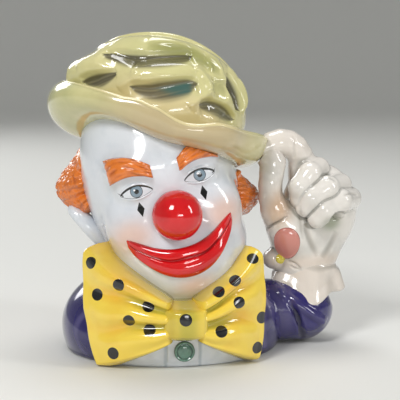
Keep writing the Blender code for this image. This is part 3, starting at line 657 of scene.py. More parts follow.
def crown_folds(angle, height):
    """How far the folds cut into the crown, how thick their washes of paint lie, and how much olive painted
    shade lies round them.

    Each fold is a valley along its path, tapered to both ends, steep on its upper side, with a swelling over
    and under it. Each ridge is a tent with a crest rounded to half a millimetre.
    """
    cut = np.zeros_like(angle)
    brown, teal, olive = np.zeros_like(angle), np.zeros_like(angle), np.zeros_like(angle)
    for points, depth, half_width, wash, brown_share, teal_share, olive_share in FOLDS:
        distance, share, side = from_crown_path(angle, height, points)
        lens = np.sqrt(np.clip(1 - (2 * share - 1) ** 2, 0, 1)) ** 0.7
        over = side * distance
        width = half_width * (0.5 + 0.5 * lens)
        valley = np.where(over > 0, bump(distance, 0, 0.95 * width), bump(distance, 0, 1.7 * width))
        cut += 0.66 * depth * (0.1 + 0.9 * lens) * valley
        cut -= 0.36 * depth * lens * bump(over, 1.8 * half_width, 1.5 * half_width)
        cut -= 0.2 * depth * lens * bump(over, -2.4 * half_width, 1.5 * half_width)
        olive = np.maximum(olive, olive_share * lens * bump(distance, 0, 1.5 * half_width))
        if wash:
            hairs = np.sin(4.1 * over + 2.3 * np.sin(5 * share + 1)) + np.sin(2.3 * over - 4 * share + 1)
            hairs = 0.88 + 0.06 * hairs
            reach = np.where(over > 0, 0.6, 1.35) * wash * np.maximum(lens**1.7, 0.05)
            edge = 1 - step(distance / reach, 0.45, 1.2)
            brown = np.maximum(brown, brown_share * edge * hairs)
            blue = step(share + 0.05 * over, 0.15, 0.65) * step(0.25 * wash - over, 0.0, 1.8)
            blue = blue * step(1 - share, 0.0, 0.2)
            teal = np.maximum(teal, teal_share * edge * hairs * blue)
    for points, lift, half_width in RIDGES:
        distance, share, _ = from_crown_path(angle, height, points)
        taper = np.sqrt(np.clip(1 - (2 * share - 1) ** 2, 0, 1)) ** 0.5
        tent = np.clip(1 - (np.hypot(distance, 0.5) - 0.5) / half_width, 0, 1)
        cut -= lift * taper * tent**1.4
    return cut, brown, teal, olive


def crown_plain(angle, climb):
    """The crown's outward distance without folds: it swells half way up and domes in to the mouth."""
    dome = 1 - np.sqrt(np.clip(1 - climb**2, 0, 1))
    half_width = 39.5 + 5.5 * np.sin(math.pi * climb) - 4.5 * dome
    half_depth = 41.0 + 4.0 * np.sin(math.pi * climb) - 13.0 * dome
    return 1 / np.hypot(np.sin(angle) / half_width, np.cos(angle) / half_depth)


def crown_radius(angle, climb):
    """The crown's outward distance with its folds, and the folds' paints."""
    left = bump(turn_from(angle, math.radians(-88)), 0, 0.9) * bump(climb, 0.55, 0.5)
    base = crown_base(angle)
    cut, brown, teal, olive = crown_folds(angle, base + (rim_height(angle) - base) * climb)
    dents = 0.5 * np.sin(3 * angle + 5 * climb) * np.sin(4 * climb + 2 * angle) * np.sin(math.pi * climb)
    fade = step(1 - climb, 0.0, 0.06)
    return crown_plain(angle, climb) + 8.0 * left - (cut - dents) * fade, brown, teal, olive


def brim_section(angle):
    """The brim's reach past the band, the height of its root and edge, and how far round its curl goes."""
    left = bump(turn_from(angle, math.radians(-98)), 0, 1.5)
    right = bump(turn_from(angle, math.radians(90)), 0, 0.9)
    dip = bump(turn_from(angle, math.radians(5)), 0, 0.3)
    ripple = 1.1 * bump(turn_from(angle, math.radians(-21)), 0, 0.16) - 0.7 * np.sin(4 * angle + 0.6)
    reach = 12.5 + 9.0 * left + 0.5 * np.sin(5 * angle)
    root = -0.5 - 3.0 * left + BROW_OPENING * bump(turn_from(angle, BROW_SIDE), 0, BROW_SPAN)
    edge = 12.5 + 9.5 * left + 3.0 * right - 4.0 * dip + ripple
    curl = np.radians(98 + 30 * left)
    return reach, root, edge, curl


def crown_base(angle):
    """Where the brim's upper side comes back to the crown, as a height over the hat's band."""
    return brim_section(angle)[1] + BRIM_THICKNESS + 1.0


def hat_and_lining():
    """The hat, its mouth and the hollow below it as one skin of rings round the hat's tilted axis.

    Out along the brim's underside, a circle's arc, round its thick edge and back; up the crown, over the
    rounded rim; down inside at the wall's thickness; over the floor; and up again inside the clay.
    """
    angle = columns_round(HAT_COLUMNS, 0.35)
    zero = 0 * angle
    band = vessel_skin(np.full_like(angle, BAND_LEVEL), angle)
    start = np.linalg.norm(band - HAT_CENTRE, axis=-1)
    reach, root, edge, curl = brim_section(angle)
    rise = (edge - root) / (1 - np.cos(curl))
    outs, ups, stretch = [], [], []

    def add(out, up, part):
        outs.append(out + zero)
        ups.append(up + zero)
        stretch.append(part)

    add(start - 1.8, root + 1.2, "under")
    for share in np.linspace(0, 1, 40):
        add(start + reach * np.sin(curl * share), root + rise * (1 - np.cos(curl * share)), "under")
    along = np.array([np.cos(curl), np.sin(curl)])
    inward = np.array([-np.sin(curl), np.cos(curl)])
    half = BRIM_THICKNESS / 2
    tip_out, tip_up = outs[-1] + half * inward[0] + half * 0.2, ups[-1] + half * inward[1]
    for turn in np.radians(np.linspace(-80, 80, 13)):
        add(tip_out + half * (math.cos(turn) * along[0] + math.sin(turn) * inward[0]),
            tip_up + half * (math.cos(turn) * along[1] + math.sin(turn) * inward[1]), "edge")
    base_radius = crown_radius(angle, zero)[0]
    for share in np.linspace(1, 0, 34)[1:]:
        out = start + (reach - BRIM_THICKNESS) * np.sin(curl * share)
        up = root + BRIM_THICKNESS + (rise - BRIM_THICKNESS) * (1 - np.cos(curl * share))
        add(np.maximum(out, base_radius + 0.6), up, "edge")
    rim = rim_height(angle)
    base = crown_base(angle)
    climbs = 1 - (1 - np.linspace(0, 1, 112)) ** 1.4
    for climb in climbs:
        add(crown_radius(angle, climb + zero)[0], base + (rim - base) * climb, "crown")
    top = outs[-1]
    for turn in np.radians(np.linspace(12, 168, 11)):
        add(top - WALL / 2 + WALL / 2 * math.cos(turn), rim + WALL / 2 * math.sin(turn), "rim")
    for climb in np.linspace(1, 0, 26):
        inner = np.minimum(crown_plain(angle, climb + zero) - WALL - 1.0,
                           crown_radius(angle, climb + zero)[0] - WALL)
        add(inner, base + (rim - base) * climb, "inside")
    shift = CROWN_SHIFT * HAT_AXES[0]
    rows = []
    for out, up, part in zip(outs, ups, stretch):
        moved = shift * (up[:, None] if part in ("crown", "rim", "inside") else 0)
        rows.append(in_hat(out, up, angle) - moved)
    for level in np.linspace(BAND_LEVEL, 0.075, 44):
        rows.append(vessel_skin(np.full_like(angle, level), angle, plain_form, WALL))
    middle = FOOT_CENTRE + (0, 0, FLOOR)
    flat = (rows[-1] - middle) * (1, 1, 0)
    floor = ((0.985, 0.9), (0.95, 0.2), (0.6, 0), (0.3, 0), (0.002, 0),
             (0.002, -2.6), (0.5, -2.6), (1, -2.6))
    rows += [middle + flat * share + (0, 0, lift) for share, lift in floor]
    for level in np.linspace(0.1, 0.96, 12):
        rows.append(vessel_skin(np.full_like(angle, level), angle, plain_form, 2.6))
    count = len(outs)
    parts = np.array(stretch + ["inside"] * (len(rows) - count))[:, None]
    height = np.concatenate([np.array(ups), np.zeros((len(rows) - count, len(angle)))])
    layers = ("brown_wash", "teal_wash", "olive_painted_shade", "pool", "cream", "under")
    paints = {name: np.zeros((len(rows), len(angle))) for name in layers}
    crown = [k for k, part in enumerate(stretch) if part == "crown"]
    climb_grid = np.broadcast_to(climbs[:, None], (len(crown), len(angle)))
    _, brown, teal, olive = crown_radius(np.broadcast_to(angle, climb_grid.shape), climb_grid)
    # The olive is painted shade round the folds and under the rim.
    paints["brown_wash"][crown], paints["teal_wash"][crown], paints["olive_painted_shade"][crown] = brown, teal, olive
    paints["pool"][crown] = 0.6 * bump(climb_grid, 0, 0.12)
    outside = (parts == "crown") | (parts == "edge") | (parts == "rim")
    low = np.exp(-(((height - 14) / 12) ** 2)) * bump(turn_from(angle, -0.1), 0, 1.5)
    paints["cream"] = outside * np.clip(low + 0.25 * np.sin(2 * angle + 0.1 * height), 0, 1)
    # Painted shade under the brim: pinkish-brown in front, and thicker colour at the left, under the curl.
    paints["under"] += 1.0 * (parts == "under") * bump(turn_from(angle, 0.1), 0, 1.3)
    paints["pool"] += 0.5 * (parts == "under") * bump(turn_from(angle, -1.4), 0, 1.2)
    paints["inside"] = np.where(parts == "inside", 1.0, 0.0) * np.ones_like(height)
    return surface("hat_and_lining", rows, HAT_GLAZE, paints, endless=True)


def ball(centre, pole, radius, columns, rows, widest):
    """Loops of a ball round the direction pole, from near its front out to the angle widest."""
    beside = np.cross(pole, (0.0, 0.0, 1.0))
    beside /= np.linalg.norm(beside)
    above = np.cross(beside, pole)
    around = np.linspace(0, 2 * math.pi, columns, endpoint=False)
    outward = np.cos(around)[:, None] * beside + np.sin(around)[:, None] * above
    tilts = np.linspace(0.02, widest, rows)
    return [centre + radius * (outward * math.sin(t) + pole * math.cos(t)) for t in tilts]


def nose():
    """The round red nose: a ball sunk in the face, darker where the glaze gathers round its foot."""
    _, back, _ = HEAD_AXES
    root, _ = on_face(np.zeros(1), np.array([NOSE_BASE + 0.9 * NOSE_RADIUS]))
    centre = root[0] - back * 0.4 * NOSE_RADIUS
    rows = ball(centre, -back, NOSE_RADIUS, 120, 70, 2.2)
    pool = np.linspace(0, 1, 70)[:, None] ** 6
    return surface("nose", rows, RED_GLAZE, {"pool": pool * np.ones((1, 120))})


def lips():
    """A calm closed smile: a raised crescent, fuller below, with a parting line from corner to corner."""
    along, across, behind = relief_grid(150, 54)
    half = (7.2 - 3.4 * along**2) * np.sqrt(np.clip(1 - np.abs(along) ** 6, 0, 1)) + 0.4
    side = 27 * along
    level = MOUTH_LINE - 1 + 15.5 * np.abs(along) ** 2.2 + across * half
    skin, outward = on_face(side, level)
    parting = 0.18 + 0.10 * bump(along, 0, 0.35)
    height = 2.5 + 0.7 * bump(across, -0.4, 0.5) * bump(along, 0, 0.8)
    height = height - 1.5 * bump(across, parting, 0.16) * (0.4 + 0.6 * bump(along, 0, 1.0))
    rows = raised(skin, outward, height, pillow(across, along, 0.42), behind)
    pool = 0.9 * bump(across, parting, 0.14) + 0.5 * bump(np.abs(across), 1, 0.2)
    return surface("lips", rows, RED_GLAZE, {"pool": pool})


def brow(side):
    """A tufted eyebrow, thick at the bridge, with locks combed outwards along it."""
    along, across, behind = relief_grid(110, 60)
    half = 4.6 - 1.4 * along
    place = side * (EYE_WIDTH + 1 - 10.5 * along)
    level = BROW_LINE + 5.5 - 3.0 * along**2 - 1.5 * along + across * half
    skin, outward = on_face(place, level)
    locks = np.cos(across * 13 + 2.0 * np.sin(along * 3 + side))
    locks = locks * (0.6 + 0.4 * np.cos(along * 9 + across * 4))
    height = 3.0 + 0.4 * locks
    below_brim = 1 - step((skin - HAT_CENTRE) @ HAT_AXES[2], -1.5, 0.5)
    rows = raised(skin, outward, height, pillow(across, along, 0.5) * below_brim, behind)
    pool = np.clip(-0.5 * locks, 0, 1) + 0.4 * bump(np.abs(across), 1, 0.25)
    return surface("brow_left" if side < 0 else "brow_right", rows, HAIR_GLAZE, {"pool": pool})


def eye(side):
    """An eye painted on the face's own bulge, with modelled lid edges.

    The almond is two arches over five shares of the head's width. Ink is the largest of the signed distances
    of its lines: upper lash, lower lid, iris ring and a lozenge of clown's paint below it.
    """
    along, across, behind = relief_grid(150, 130)
    half_width, half_height = 11.6, 12.0
    rounded = 0.02 + 0.98 * np.sqrt(np.clip(1 - along**8, 0, 1))
    x, z = along * half_width - 0.9, across * half_height * rounded - 3.0
    skin, outward = on_face(side * EYE_WIDTH + x * side, EYE_LINE + z)
    reach = np.clip(1 - (x / 8.0) ** 2, 0, 1)
    upper, lower = 3.5 * reach**0.85, -2.2 * reach
    upper_slope = np.abs(np.gradient(upper[:, 0], x[:, 0]))[:, None]
    lid = 0.5 * bump(z - upper - 0.9, 0, 1.1) * (reach > 0) * reach**0.5
    crease = -0.35 * bump(z - upper * 1.15 - 2.4, 0, 0.7) * reach**0.5
    low_lid = 0.35 * bump(z - lower + 0.6, 0, 0.8) * reach**0.5
    height = 0.03 + lid + crease + low_lid
    flush = 0.1
    offset = np.where(behind > 0, -ROOT, -flush + pillow(across, along, 0.35) * (height + flush))
    rows = skin + outward * offset[..., None]
    tail = np.clip((x - 6.5) / 3.2, 0, 1)
    flick_line = 0.9 + 1.7 * tail**1.4 - 0.9 * (1 - tail)
    flick = np.where(x > 6.5, 0.55 * (1 - tail) - np.abs(z - flick_line), -1.0)
    lash = (0.38 + 0.3 * reach) - np.abs(z - upper - 0.2) / np.hypot(1, upper_slope)
    lash = np.where(reach > 0, lash, -1.0)
    line = np.where(reach > 0, 0.17 - np.abs(z - lower), -1.0)
    within = np.minimum(upper - z, z - lower)
    from_iris = np.hypot(x, z - 1.0)
    ring_line = np.minimum(0.24 - np.abs(from_iris - 2.9), within)
    lozenge = (1 - np.abs(x) / 1.9 - np.abs(z + 8.2) / 3.9) * 1.7
    ink = np.max([lash, flick, line, ring_line, lozenge], 0)
    paints = {
        "ink": ink,
        "iris": np.minimum(2.9 - from_iris, within),
        "pupil": np.minimum(1.25 - from_iris, within),
        # A painted highlight: a white glint on the iris.
        "painted_glint": 0.55 - np.hypot(x * side + 0.9, z - 1.9),
        "blush": blush_at(skin),
        "pool": 0.5 * bump(z - upper - 2.2, 0, 1.2) * reach,
    }
    name = "eye_left" if side < 0 else "eye_right"
    return surface(name, rows, BODY_GLAZE, paints)


# Any other seed moves the curls within their grid.
CURL_SEED = 7


def hair():
    """The curly fringe from ear to ear round the back: a raised band of coiled curls.

    Curls sit at the jittered points of a grid. Each is a dome, the root of 1 - (d / r)^2, with a spiral
    groove.
    """
    turns, across, behind = relief_grid(520, 120)
    side = np.abs(turns)
    fringe = 0.035 * np.sin(7 * across + 1) + 0.02 * np.sin(17 * across)
    angle = math.pi + turns * (math.radians(102) - math.radians(6) * turns) + turns**9 * fringe
    top = 1.0 - 0.02 * side**2 - 0.10 * bump(turns, 1, 0.6) - 0.04 * side**14
    bottom = 0.65 - 0.03 * bump(turns, 1, 0.5) + 0.07 * bump(turns, -1, 0.4) + 0.05 * side**14
    level = bottom + (top - bottom) * (across + 1) / 2
    skin = vessel_skin(level, angle)
    outward = normals_of(vessel_form, skin)
    arc, rise = turns * 88, level * 100
    draw = np.random.default_rng(CURL_SEED)
    nearest = np.full(turns.shape, 1e9)
    coil = np.zeros(turns.shape)
    spacing = 4.6
    for row, curl_rise in enumerate(np.arange(50, 104, spacing)):
        for curl_arc in np.arange(-92, 92, spacing) + spacing / 2 * (row % 2):
            slip, turn = draw.uniform(-1.1, 1.1, 2), draw.uniform(0, 2 * math.pi)
            from_arc, from_rise = arc - curl_arc - slip[0], rise - curl_rise - slip[1]
            distance = np.hypot(from_arc, from_rise)
            nearer = distance < nearest
            spiral = np.cos(2 * math.pi * distance / 1.7 - np.arctan2(from_rise, from_arc) + turn)
            nearest = np.where(nearer, distance, nearest)
            coil = np.where(nearer, spiral, coil)
    dome = np.sqrt(np.clip(1 - (nearest / 3.6) ** 2, 0, 1))
    tuft = bump(side, 0.8, 0.4)
    bulk = 5.0 + (9.8 + 1.4 * turns) * tuft * bump(across, -0.15, 1.0) - 3.0 * tuft * np.maximum(across, 0)
    height = bulk - 1.5 + 2.0 * dome + 0.36 * coil
    rows = raised(skin, outward, height, pillow(across, turns, 0.35), behind)
    pool = np.clip(0.9 - dome - 0.25 * coil, 0, 1) * 0.8
    return surface("hair", rows, HAIR_GLAZE, {"pool": pool})


def ear(side):
    """The lower part of an ear: an ellipsoid that flares out upwards, with a hollow inside its helix."""
    right, back, up = HEAD_AXES
    flare = math.radians(27)
    length = up * math.cos(flare) + side * right * math.sin(flare)
    outward = side * right * math.cos(flare) - up * math.sin(flare)
    centre = HEAD_CENTRE + side * right * 42 + back * 4 - up * 16
    around = np.linspace(0, 2 * math.pi, 90, endpoint=False)
    rows = []
    tilts = np.linspace(0.03, math.pi - 0.03, 60)
    for tilt in tilts:
        reach = np.where((np.sin(around) > 0) & (side > 0), 2.5, 16.0)
        loop = back * (9 * np.cos(around))[:, None] + length * (reach * np.sin(around))[:, None]
        hollow = 4.2 * (1 - step(tilt, 0.3, 1.0))
        rows.append(centre + loop * math.sin(tilt) + outward * (5.5 * math.cos(tilt) - hollow))
    pool = 0.7 * (1 - step(tilts, 0.4, 0.95))[:, None] * np.ones((1, 90))
    return surface("ear_left" if side < 0 else "ear_right", rows, BODY_GLAZE, {"pool": pool})


# Black dots of the bow tie as (x, z) in front view, about one every 11 mm, and their radius.
DOT_RADIUS = 3.1
DOTS = (
    (-47.6, 54.2), (-32.8, 43.5), (-44.0, 38.4), (-18.0, 33.1), (-27.6, 26.1), (-17.5, 21.3), (-35.8, 9.6),
    (0.3, 26.4),
    (33.8, 54.5), (24.5, 44.6), (16.2, 39.5), (26.6, 33.4), (38.4, 24.5), (17.7, 19.7), (36.0, 9.5),
)
CAMERA_AZIMUTH, CAMERA_ELEVATION = math.radians(-8), math.radians(8)
TOWARD = np.array([math.sin(CAMERA_AZIMUTH) * math.cos(CAMERA_ELEVATION),
                   -math.cos(CAMERA_AZIMUTH) * math.cos(CAMERA_ELEVATION), math.sin(CAMERA_ELEVATION)])
ASIDE = np.array([math.cos(CAMERA_AZIMUTH), math.sin(CAMERA_AZIMUTH), 0.0])
ABOVE = np.cross(TOWARD, ASIDE)


def dots_on(points, outward):
    """Signed distance into the nearest dot, partly along the skin and partly as the painter sees it.

    A dot's centre is the skin's point nearest to its place in front view.
    """
    seen = (outward @ TOWARD) > 0.05
    inside = np.full(points.shape[:-1], -9.0)
    for x, z in DOTS:
        place = np.array([x, -53.0, z])
        off = np.hypot((points - place) @ ASIDE, (points - place) @ ABOVE) + 50 * ~seen
        nearest = np.unravel_index(off.argmin(), off.shape)
        if off[nearest] < DOT_RADIUS:
            away = 0.35 * np.linalg.norm(points - points[nearest], axis=-1) + 0.65 * off
            inside = np.maximum(inside, DOT_RADIUS - away)
    return inside


def strokes_on(points, outward, strokes, depth):
    """How strongly each of some lines, drawn in front view at about this depth, marks a skin that faces it.

    Strokes are points as (x, z), a half width and a strength; each tapers to both ends.
    """
    seen = step(outward @ TOWARD, 0.1, 0.35)
    marks = []
    for path, half_width, strength in strokes:
        stations = curve_through(path, 15)
        places = np.stack([stations[:, 0], np.full(15, depth), stations[:, 1]], -1)
        flat = np.stack([places @ ASIDE, places @ ABOVE], -1)
        distance, share, _ = from_path(points @ ASIDE, points @ ABOVE, flat)
        taper = np.sqrt(np.clip(1 - (2 * share - 1) ** 2, 0, 1)) ** 0.6
        marks.append(strength * taper * bump(distance, 0, half_width) * seen)
    return marks


def grid_normals(points, outward_hint):
    """Directions across a grid of points, on the side of the hint."""
    normal = np.cross(np.gradient(points, axis=0), np.gradient(points, axis=1))
    normal /= np.maximum(np.linalg.norm(normal, axis=-1, keepdims=True), 1e-9)
    facing = np.sign((normal * outward_hint).sum(-1, keepdims=True))
    return normal * facing


# Ridges and valleys that fan out from the knot over a wing: place across it at the knot and at the outer
# edge, half width at the edge, and height.
PLEATS = {
    -1: ((0.78, 0.84, 0.34, 2.0), (0.42, 0.46, 0.24, -2.6), (0.12, 0.04, 0.26, 1.6),
         (-0.18, -0.26, 0.20, -2.2), (-0.52, -0.62, 0.30, 1.8)),
    1: ((0.78, 0.82, 0.32, 1.8), (0.46, 0.58, 0.18, -2.2), (0.20, 0.26, 0.24, 1.8),
        (-0.06, -0.20, 0.26, -2.8), (-0.48, -0.62, 0.30, 2.0)),
}

# Degrees that a wing spreads round the body and slants at its end, and how far out wings and knot stand.
WING_SPREAD = {-1: (52, 8.5), 1: (43, 4.5)}
WING_FRONT = 60.5
KNOT_FRONT = 63.4


def bow_wing(side):
    """A wing of the bow tie: a sheet on a cylinder about the jug's axis, pleated in a fan from the knot."""
    along, across, behind = relief_grid(150, 150)
    share = (along + 1) / 2
    spread, slant = WING_SPREAD[side]
    rounding = 1 - 0.07 * across**4 * share**3
    angle = np.radians(6 + share * (spread + slant * across) * rounding)
    half = (9.5 + (21.5 - 1.0 * side) * share**0.8) * (1 - 0.04 * share**8)
    height = np.maximum(25 + 3.5 * share + across * half, 1.0)
    radial = np.stack([side * np.sin(angle), -np.cos(angle), 0 * angle], -1)
    origin = FOOT_CENTRE + np.stack([0 * angle, 0 * angle, height], -1)
    skin = cast(vessel_form, origin, radial)
    radius = np.linalg.norm(skin - origin, axis=-1)
    drift = across + 0.05 * np.sin(5 * share + 2 * side) + 0.03 * np.sin(11 * share)
    pleats = np.zeros_like(share)
    for at_knot, at_edge, width, lift in PLEATS[side]:
        place = at_knot + (at_edge - at_knot) * share
        pleats += lift * bump(drift, place, width * (0.85 + 0.5 * share))
    fan = 0.14 + 0.86 * bump(share, 0.3, 0.62)
    hem = 0.5 * bump(share, 0.95, 0.1)
    front_radius = WING_FRONT - 2.0 * share - 4.5 * share * np.maximum(across, 0) + pleats * fan + hem
    front_radius = np.maximum(front_radius, radius + 1.6)
    rise = pillow(across, along, 0.14)
    place = np.where(behind > 0, radius - ROOT, radius - SUNK + rise * (front_radius - radius + SUNK))
    rows = origin + radial * place[..., None]
    facing = grid_normals(rows, radial)
    dot = np.where(behind > 0, -9.0, dots_on(rows, facing))
    valley = np.clip(-0.5 * pleats * fan, 0, 1)
    orange = 0.5 * valley * step(share, 0.3, 0.6) + 0.7 * bump(across, 0.8, 0.25) * bump(share, 0.4, 0.3)
    # Olive painted shade: near the knot and in the valleys beside it, along the lower edge, and under the
    # chin.
    olive = np.clip(1.3 - 2.2 * share, 0, 1) * (0.15 + 1.1 * valley) + 0.55 * bump(across, -1, 0.16)
    olive = olive + 0.6 * bump(across, 1, 0.12) * (1 - share)
    paints = {
        "pool": 0.6 * valley + 0.3 * bump(np.abs(across), 1, 0.1),
        "orange_pool": np.clip(orange, 0, 1),
        "olive": np.clip(olive, 0, 1),
        "dot": dot,
    }
    return surface("bow_wing_left" if side < 0 else "bow_wing_right", rows, BOW_GLAZE, paints)


def bow_knot():
    """The knot: a band bulging between the wings, with soft folds down it and a flare at its sides."""
    along, across, behind = relief_grid(90, 90)
    angle = np.radians(12.5 * along)
    height = 24.5 + across * 9.5
    radial = np.stack([np.sin(angle), -np.cos(angle), 0 * angle], -1)
    origin = FOOT_CENTRE + np.stack([0 * angle, 0 * angle, height], -1)
    skin = cast(vessel_form, origin, radial)
    radius = np.linalg.norm(skin - origin, axis=-1)
    folds = 0.4 * np.cos(along * 6 + 0.6 * across) - 0.5 * bump(across, 0.85, 0.3)
    folds = folds - 0.7 * bump(along, -0.62, 0.22) + 0.4 * bump(along, 0.8, 0.16)
    front_radius = KNOT_FRONT - 2.4 * along**2 - 1.8 * across**2 + folds
    rise = pillow(across, along, 0.42)
    place = np.where(behind > 0, radius - ROOT, radius - SUNK + rise * (front_radius - radius + SUNK))
    rows = origin + radial * place[..., None]
    facing = grid_normals(rows, radial)
    paints = {
        "pool": np.clip(-0.5 * folds, 0, 1),
        # Olive painted shade over the knot under the chin, more at its left.
        "olive": np.clip(0.62 + 0.3 * np.cos(along * 5) + 0.3 * bump(along, -0.6, 0.3), 0, 1),
        "dot": np.where(behind > 0, -9.0, dots_on(rows, facing)),
    }
    return surface("bow_knot", rows, BOW_GLAZE, paints)


def shirt_button():
    """The round button: a turned profile with a raised rim and a domed middle."""
    skin = cast(vessel_form, (FOOT_CENTRE + (0, 0, 9.0))[None], np.array([[0.0, -1.0, 0.0]]))[0]
    around = np.linspace(0, 2 * math.pi, 72, endpoint=False)
    disc = np.stack([np.cos(around), 0 * around, np.sin(around)], -1)
    profile = curve_through(
        ((0.3, 3.0), (2.2, 2.8), (3.6, 2.3), (4.0, 2.4), (4.6, 2.7), (5.1, 2.1), (5.2, 0.9), (5.2, -1.6)),
        44)
    rows = [skin + disc * radius - (0, out, 0) for radius, out in profile]
    pool = bump(profile[:, 0], 3.7, 0.6) + bump(profile[:, 0], 5.2, 0.4)
    return surface("shirt_button", rows, BUTTON_GLAZE, {"pool": pool[:, None] * np.ones((1, 72))})


# Stations of the handle: x, y, z and radius.
INDEX_FINGER = (
    (70.5, 5, 90, 7.6), (69, 3, 98, 6.7), (64.5, 1, 104.3, 6.8), (58, 0, 106.8, 6.9), (50.5, -1, 105, 6.4),
    (45, -2, 102, 5.4))
THUMB = (
    (64, 0, 56, 10), (56, -3, 68, 8.6), (51.0, -5, 80, 6.1), (51.6, -5, 90, 6.2), (52.3, -3, 98, 6.7),
    (48, -2, 101, 5.6))
CURLED_FINGERS = (
    ((78, 1, 92.5, 6.2), (71.5, -7.5, 90.5, 6.2), (66, -9.5, 84, 5.9), (66, -8.5, 77.5, 5.2)),
    ((90, 1, 83.5, 6.4), (80, -11, 83.5, 6.3), (71.5, -12.5, 78.5, 5.9), (68.5, -11, 73.5, 5.2)),
    ((95.6, 2, 76, 6.4), (87, -11, 76.5, 6.4), (78.5, -14, 72, 6.0), (74.5, -13, 68, 5.3)),
)


# The dark hollow under the little finger and its two arms: ends and radii of the bars that are taken out.
HOLLOW = (
    ((84, -17, 68), (87, -4, 69.5), 3.6, 2.4), ((86, -15, 69), (98, -9, 70), 2.4, 1.8),
    ((86, -15, 67.5), (91, -13, 60), 2.4, 1.2))


def finger_form(points, stations, softness=1.5):
    """A bent finger: round-ended bars from station to station (x, y, z, radius), joined softly."""
    form = capsule(points, stations[0][:3], stations[1][:3], stations[0][3], stations[1][3])
    for start, end in zip(stations[1:-1], stations[2:]):
        form = join(form, capsule(points, start[:3], end[:3], start[3], end[3]), softness)
    return form


def palm_form(points):
    """The gloved palm, wrist, curled fingers and the hem's left lobe as one soft form."""
    form = ellipsoid(points, (79.5, 5, 70), (20.5, 14, 25))
    form = join(form, ellipsoid(points, (71, 5, 45), (18, 14.5, 17)), 9)
    form = join(form, ellipsoid(points, (63, -2, 60), (12, 11, 15)), 5)
    for stations in CURLED_FINGERS:
        form = join(form, finger_form(points, stations), 0.5)
    for start, end, first, last in HOLLOW:
        form = carve(form, capsule(points, start, end, first, last), 1.6)
    return join(form, ellipsoid(points, (54.5, 1, 44.5), (6, 8, 5.5)), 2)


def index_form(points):
    """The raised index finger, rooted in the palm."""
    return finger_form(points, curve_through(INDEX_FINGER, 9))


def thumb_form(points):
    """The thumb, rooted in the ball of the palm."""
    return finger_form(points, curve_through(THUMB, 9))


def palm_and_roots(points):
    """The palm with a fillet towards the roots of the index finger and the thumb."""
    index_root = capsule(points, INDEX_FINGER[0][:3], INDEX_FINGER[1][:3], 8.0, 7.0)
    thumb_root = capsule(points, THUMB[0][:3], THUMB[1][:3], 10.0, 8.6)
    form = join(palm_form(points), index_root, 3)
    return join(form, thumb_root, 3)


def sleeve_form(points):
    """The coat's sleeve: upper arm and forearm with a soft elbow, ending inside the coat's wall."""
    upper_arm = capsule(points, (46, -1, 17.6), (68, -1, 17), 16.6, 15.8)
    forearm = capsule(points, (71, 2, 18), (71.5, 5, 28), 15.0, 11.0)
    return np.maximum(join(upper_arm, forearm, 6), -2 - vessel_form(points))


def wrapped(form, base, top, rows, columns):
    """Loops on a form: rays from the line base to top, which fan out towards both of its ends."""
    base, top = np.array(base, float), np.array(top, float)
    along = (top - base) / np.linalg.norm(top - base)
    front = np.array([0.0, -1.0, 0.0])
    front -= along * (front @ along)
    front /= np.linalg.norm(front)
    beside = np.cross(along, front)
    around = np.linspace(0, 2 * math.pi, columns, endpoint=False)
    radial = np.cos(around)[:, None] * front + np.sin(around)[:, None] * beside
    lift = np.linspace(-1, 1, rows)[:, None, None]
    fan = math.radians(87) * lift**3
    origin = base + (top - base) * (lift + 1) / 2 + 0 * radial
    return cast(form, origin, radial * np.cos(fan) + along * np.sin(fan), reach=45)


def around_path(form, stations, columns, spare):
    """Loops on a form round a path: rays square to it, which reach its radius there plus spare."""
    path, radii = stations[:, :3], stations[:, 3]
    heading = np.gradient(path, axis=0)
    heading /= np.linalg.norm(heading, axis=1, keepdims=True)
    front = np.array([0.0, -1.0, 0.0]) + 0 * path
    front -= heading * (front * heading).sum(1, keepdims=True)
    front /= np.linalg.norm(front, axis=1, keepdims=True)
    beside = np.cross(heading, front)
    around = np.linspace(0, 2 * math.pi, columns, endpoint=False)
    radial = np.cos(around)[None, :, None] * front[:, None] + np.sin(around)[None, :, None] * beside[:, None]
    reach = radii + spare
    radial *= (reach / reach.max())[:, None, None]
    return cast(form, path[:, None] + 0 * radial, radial, reach=reach.max())


def creases_at(form, points, outward):
    """How much a form hollows at points: its distance 1.6 mm out, short of 1.6, is the sign of a crease."""
    feel = 1.6
    return np.clip((feel - form(points + outward * feel)) / feel * 2.2, 0, 1)


# Wrinkles pressed in the glove, as seen from the front at a depth: points as (x, z), half width and depth.
WRINKLE_DEPTH = -9.0
WRINKLES = (
    (((48.6, 62.0), (51.5, 64.2), (55.2, 66.2), (59.6, 69.2)), 1.3, 1.3),
    (((48.6, 62.0), (49.5, 56.3), (51.6, 52.0), (55.2, 48.4)), 1.0, 0.8),
    (((60.2, 44.8), (63.6, 43.5), (67.2, 40.4)), 0.9, 0.9),
    (((61.2, 42.6), (64.2, 40.8), (67.2, 40.0)), 0.7, 0.6),
    (((65.4, 74.6), (66.6, 65.7), (67.8, 56.2)), 1.6, 0.6),
    (((68.6, 65.0), (71.5, 56.0), (76.0, 47.0)), 2.6, 0.9),
    (((86.0, 60.0), (82.5, 52.0), (78.5, 46.0)), 2.6, 0.8),
    (((88.5, 79.5), (93.5, 80.2), (97.5, 79.4)), 0.9, 0.8),
    (((77.0, 88.0), (81.5, 88.6), (85.0, 86.4)), 0.9, 0.7),
    (((62.0, 112.0), (63.5, 105.5), (63.0, 99.5)), 1.2, 0.5),
)


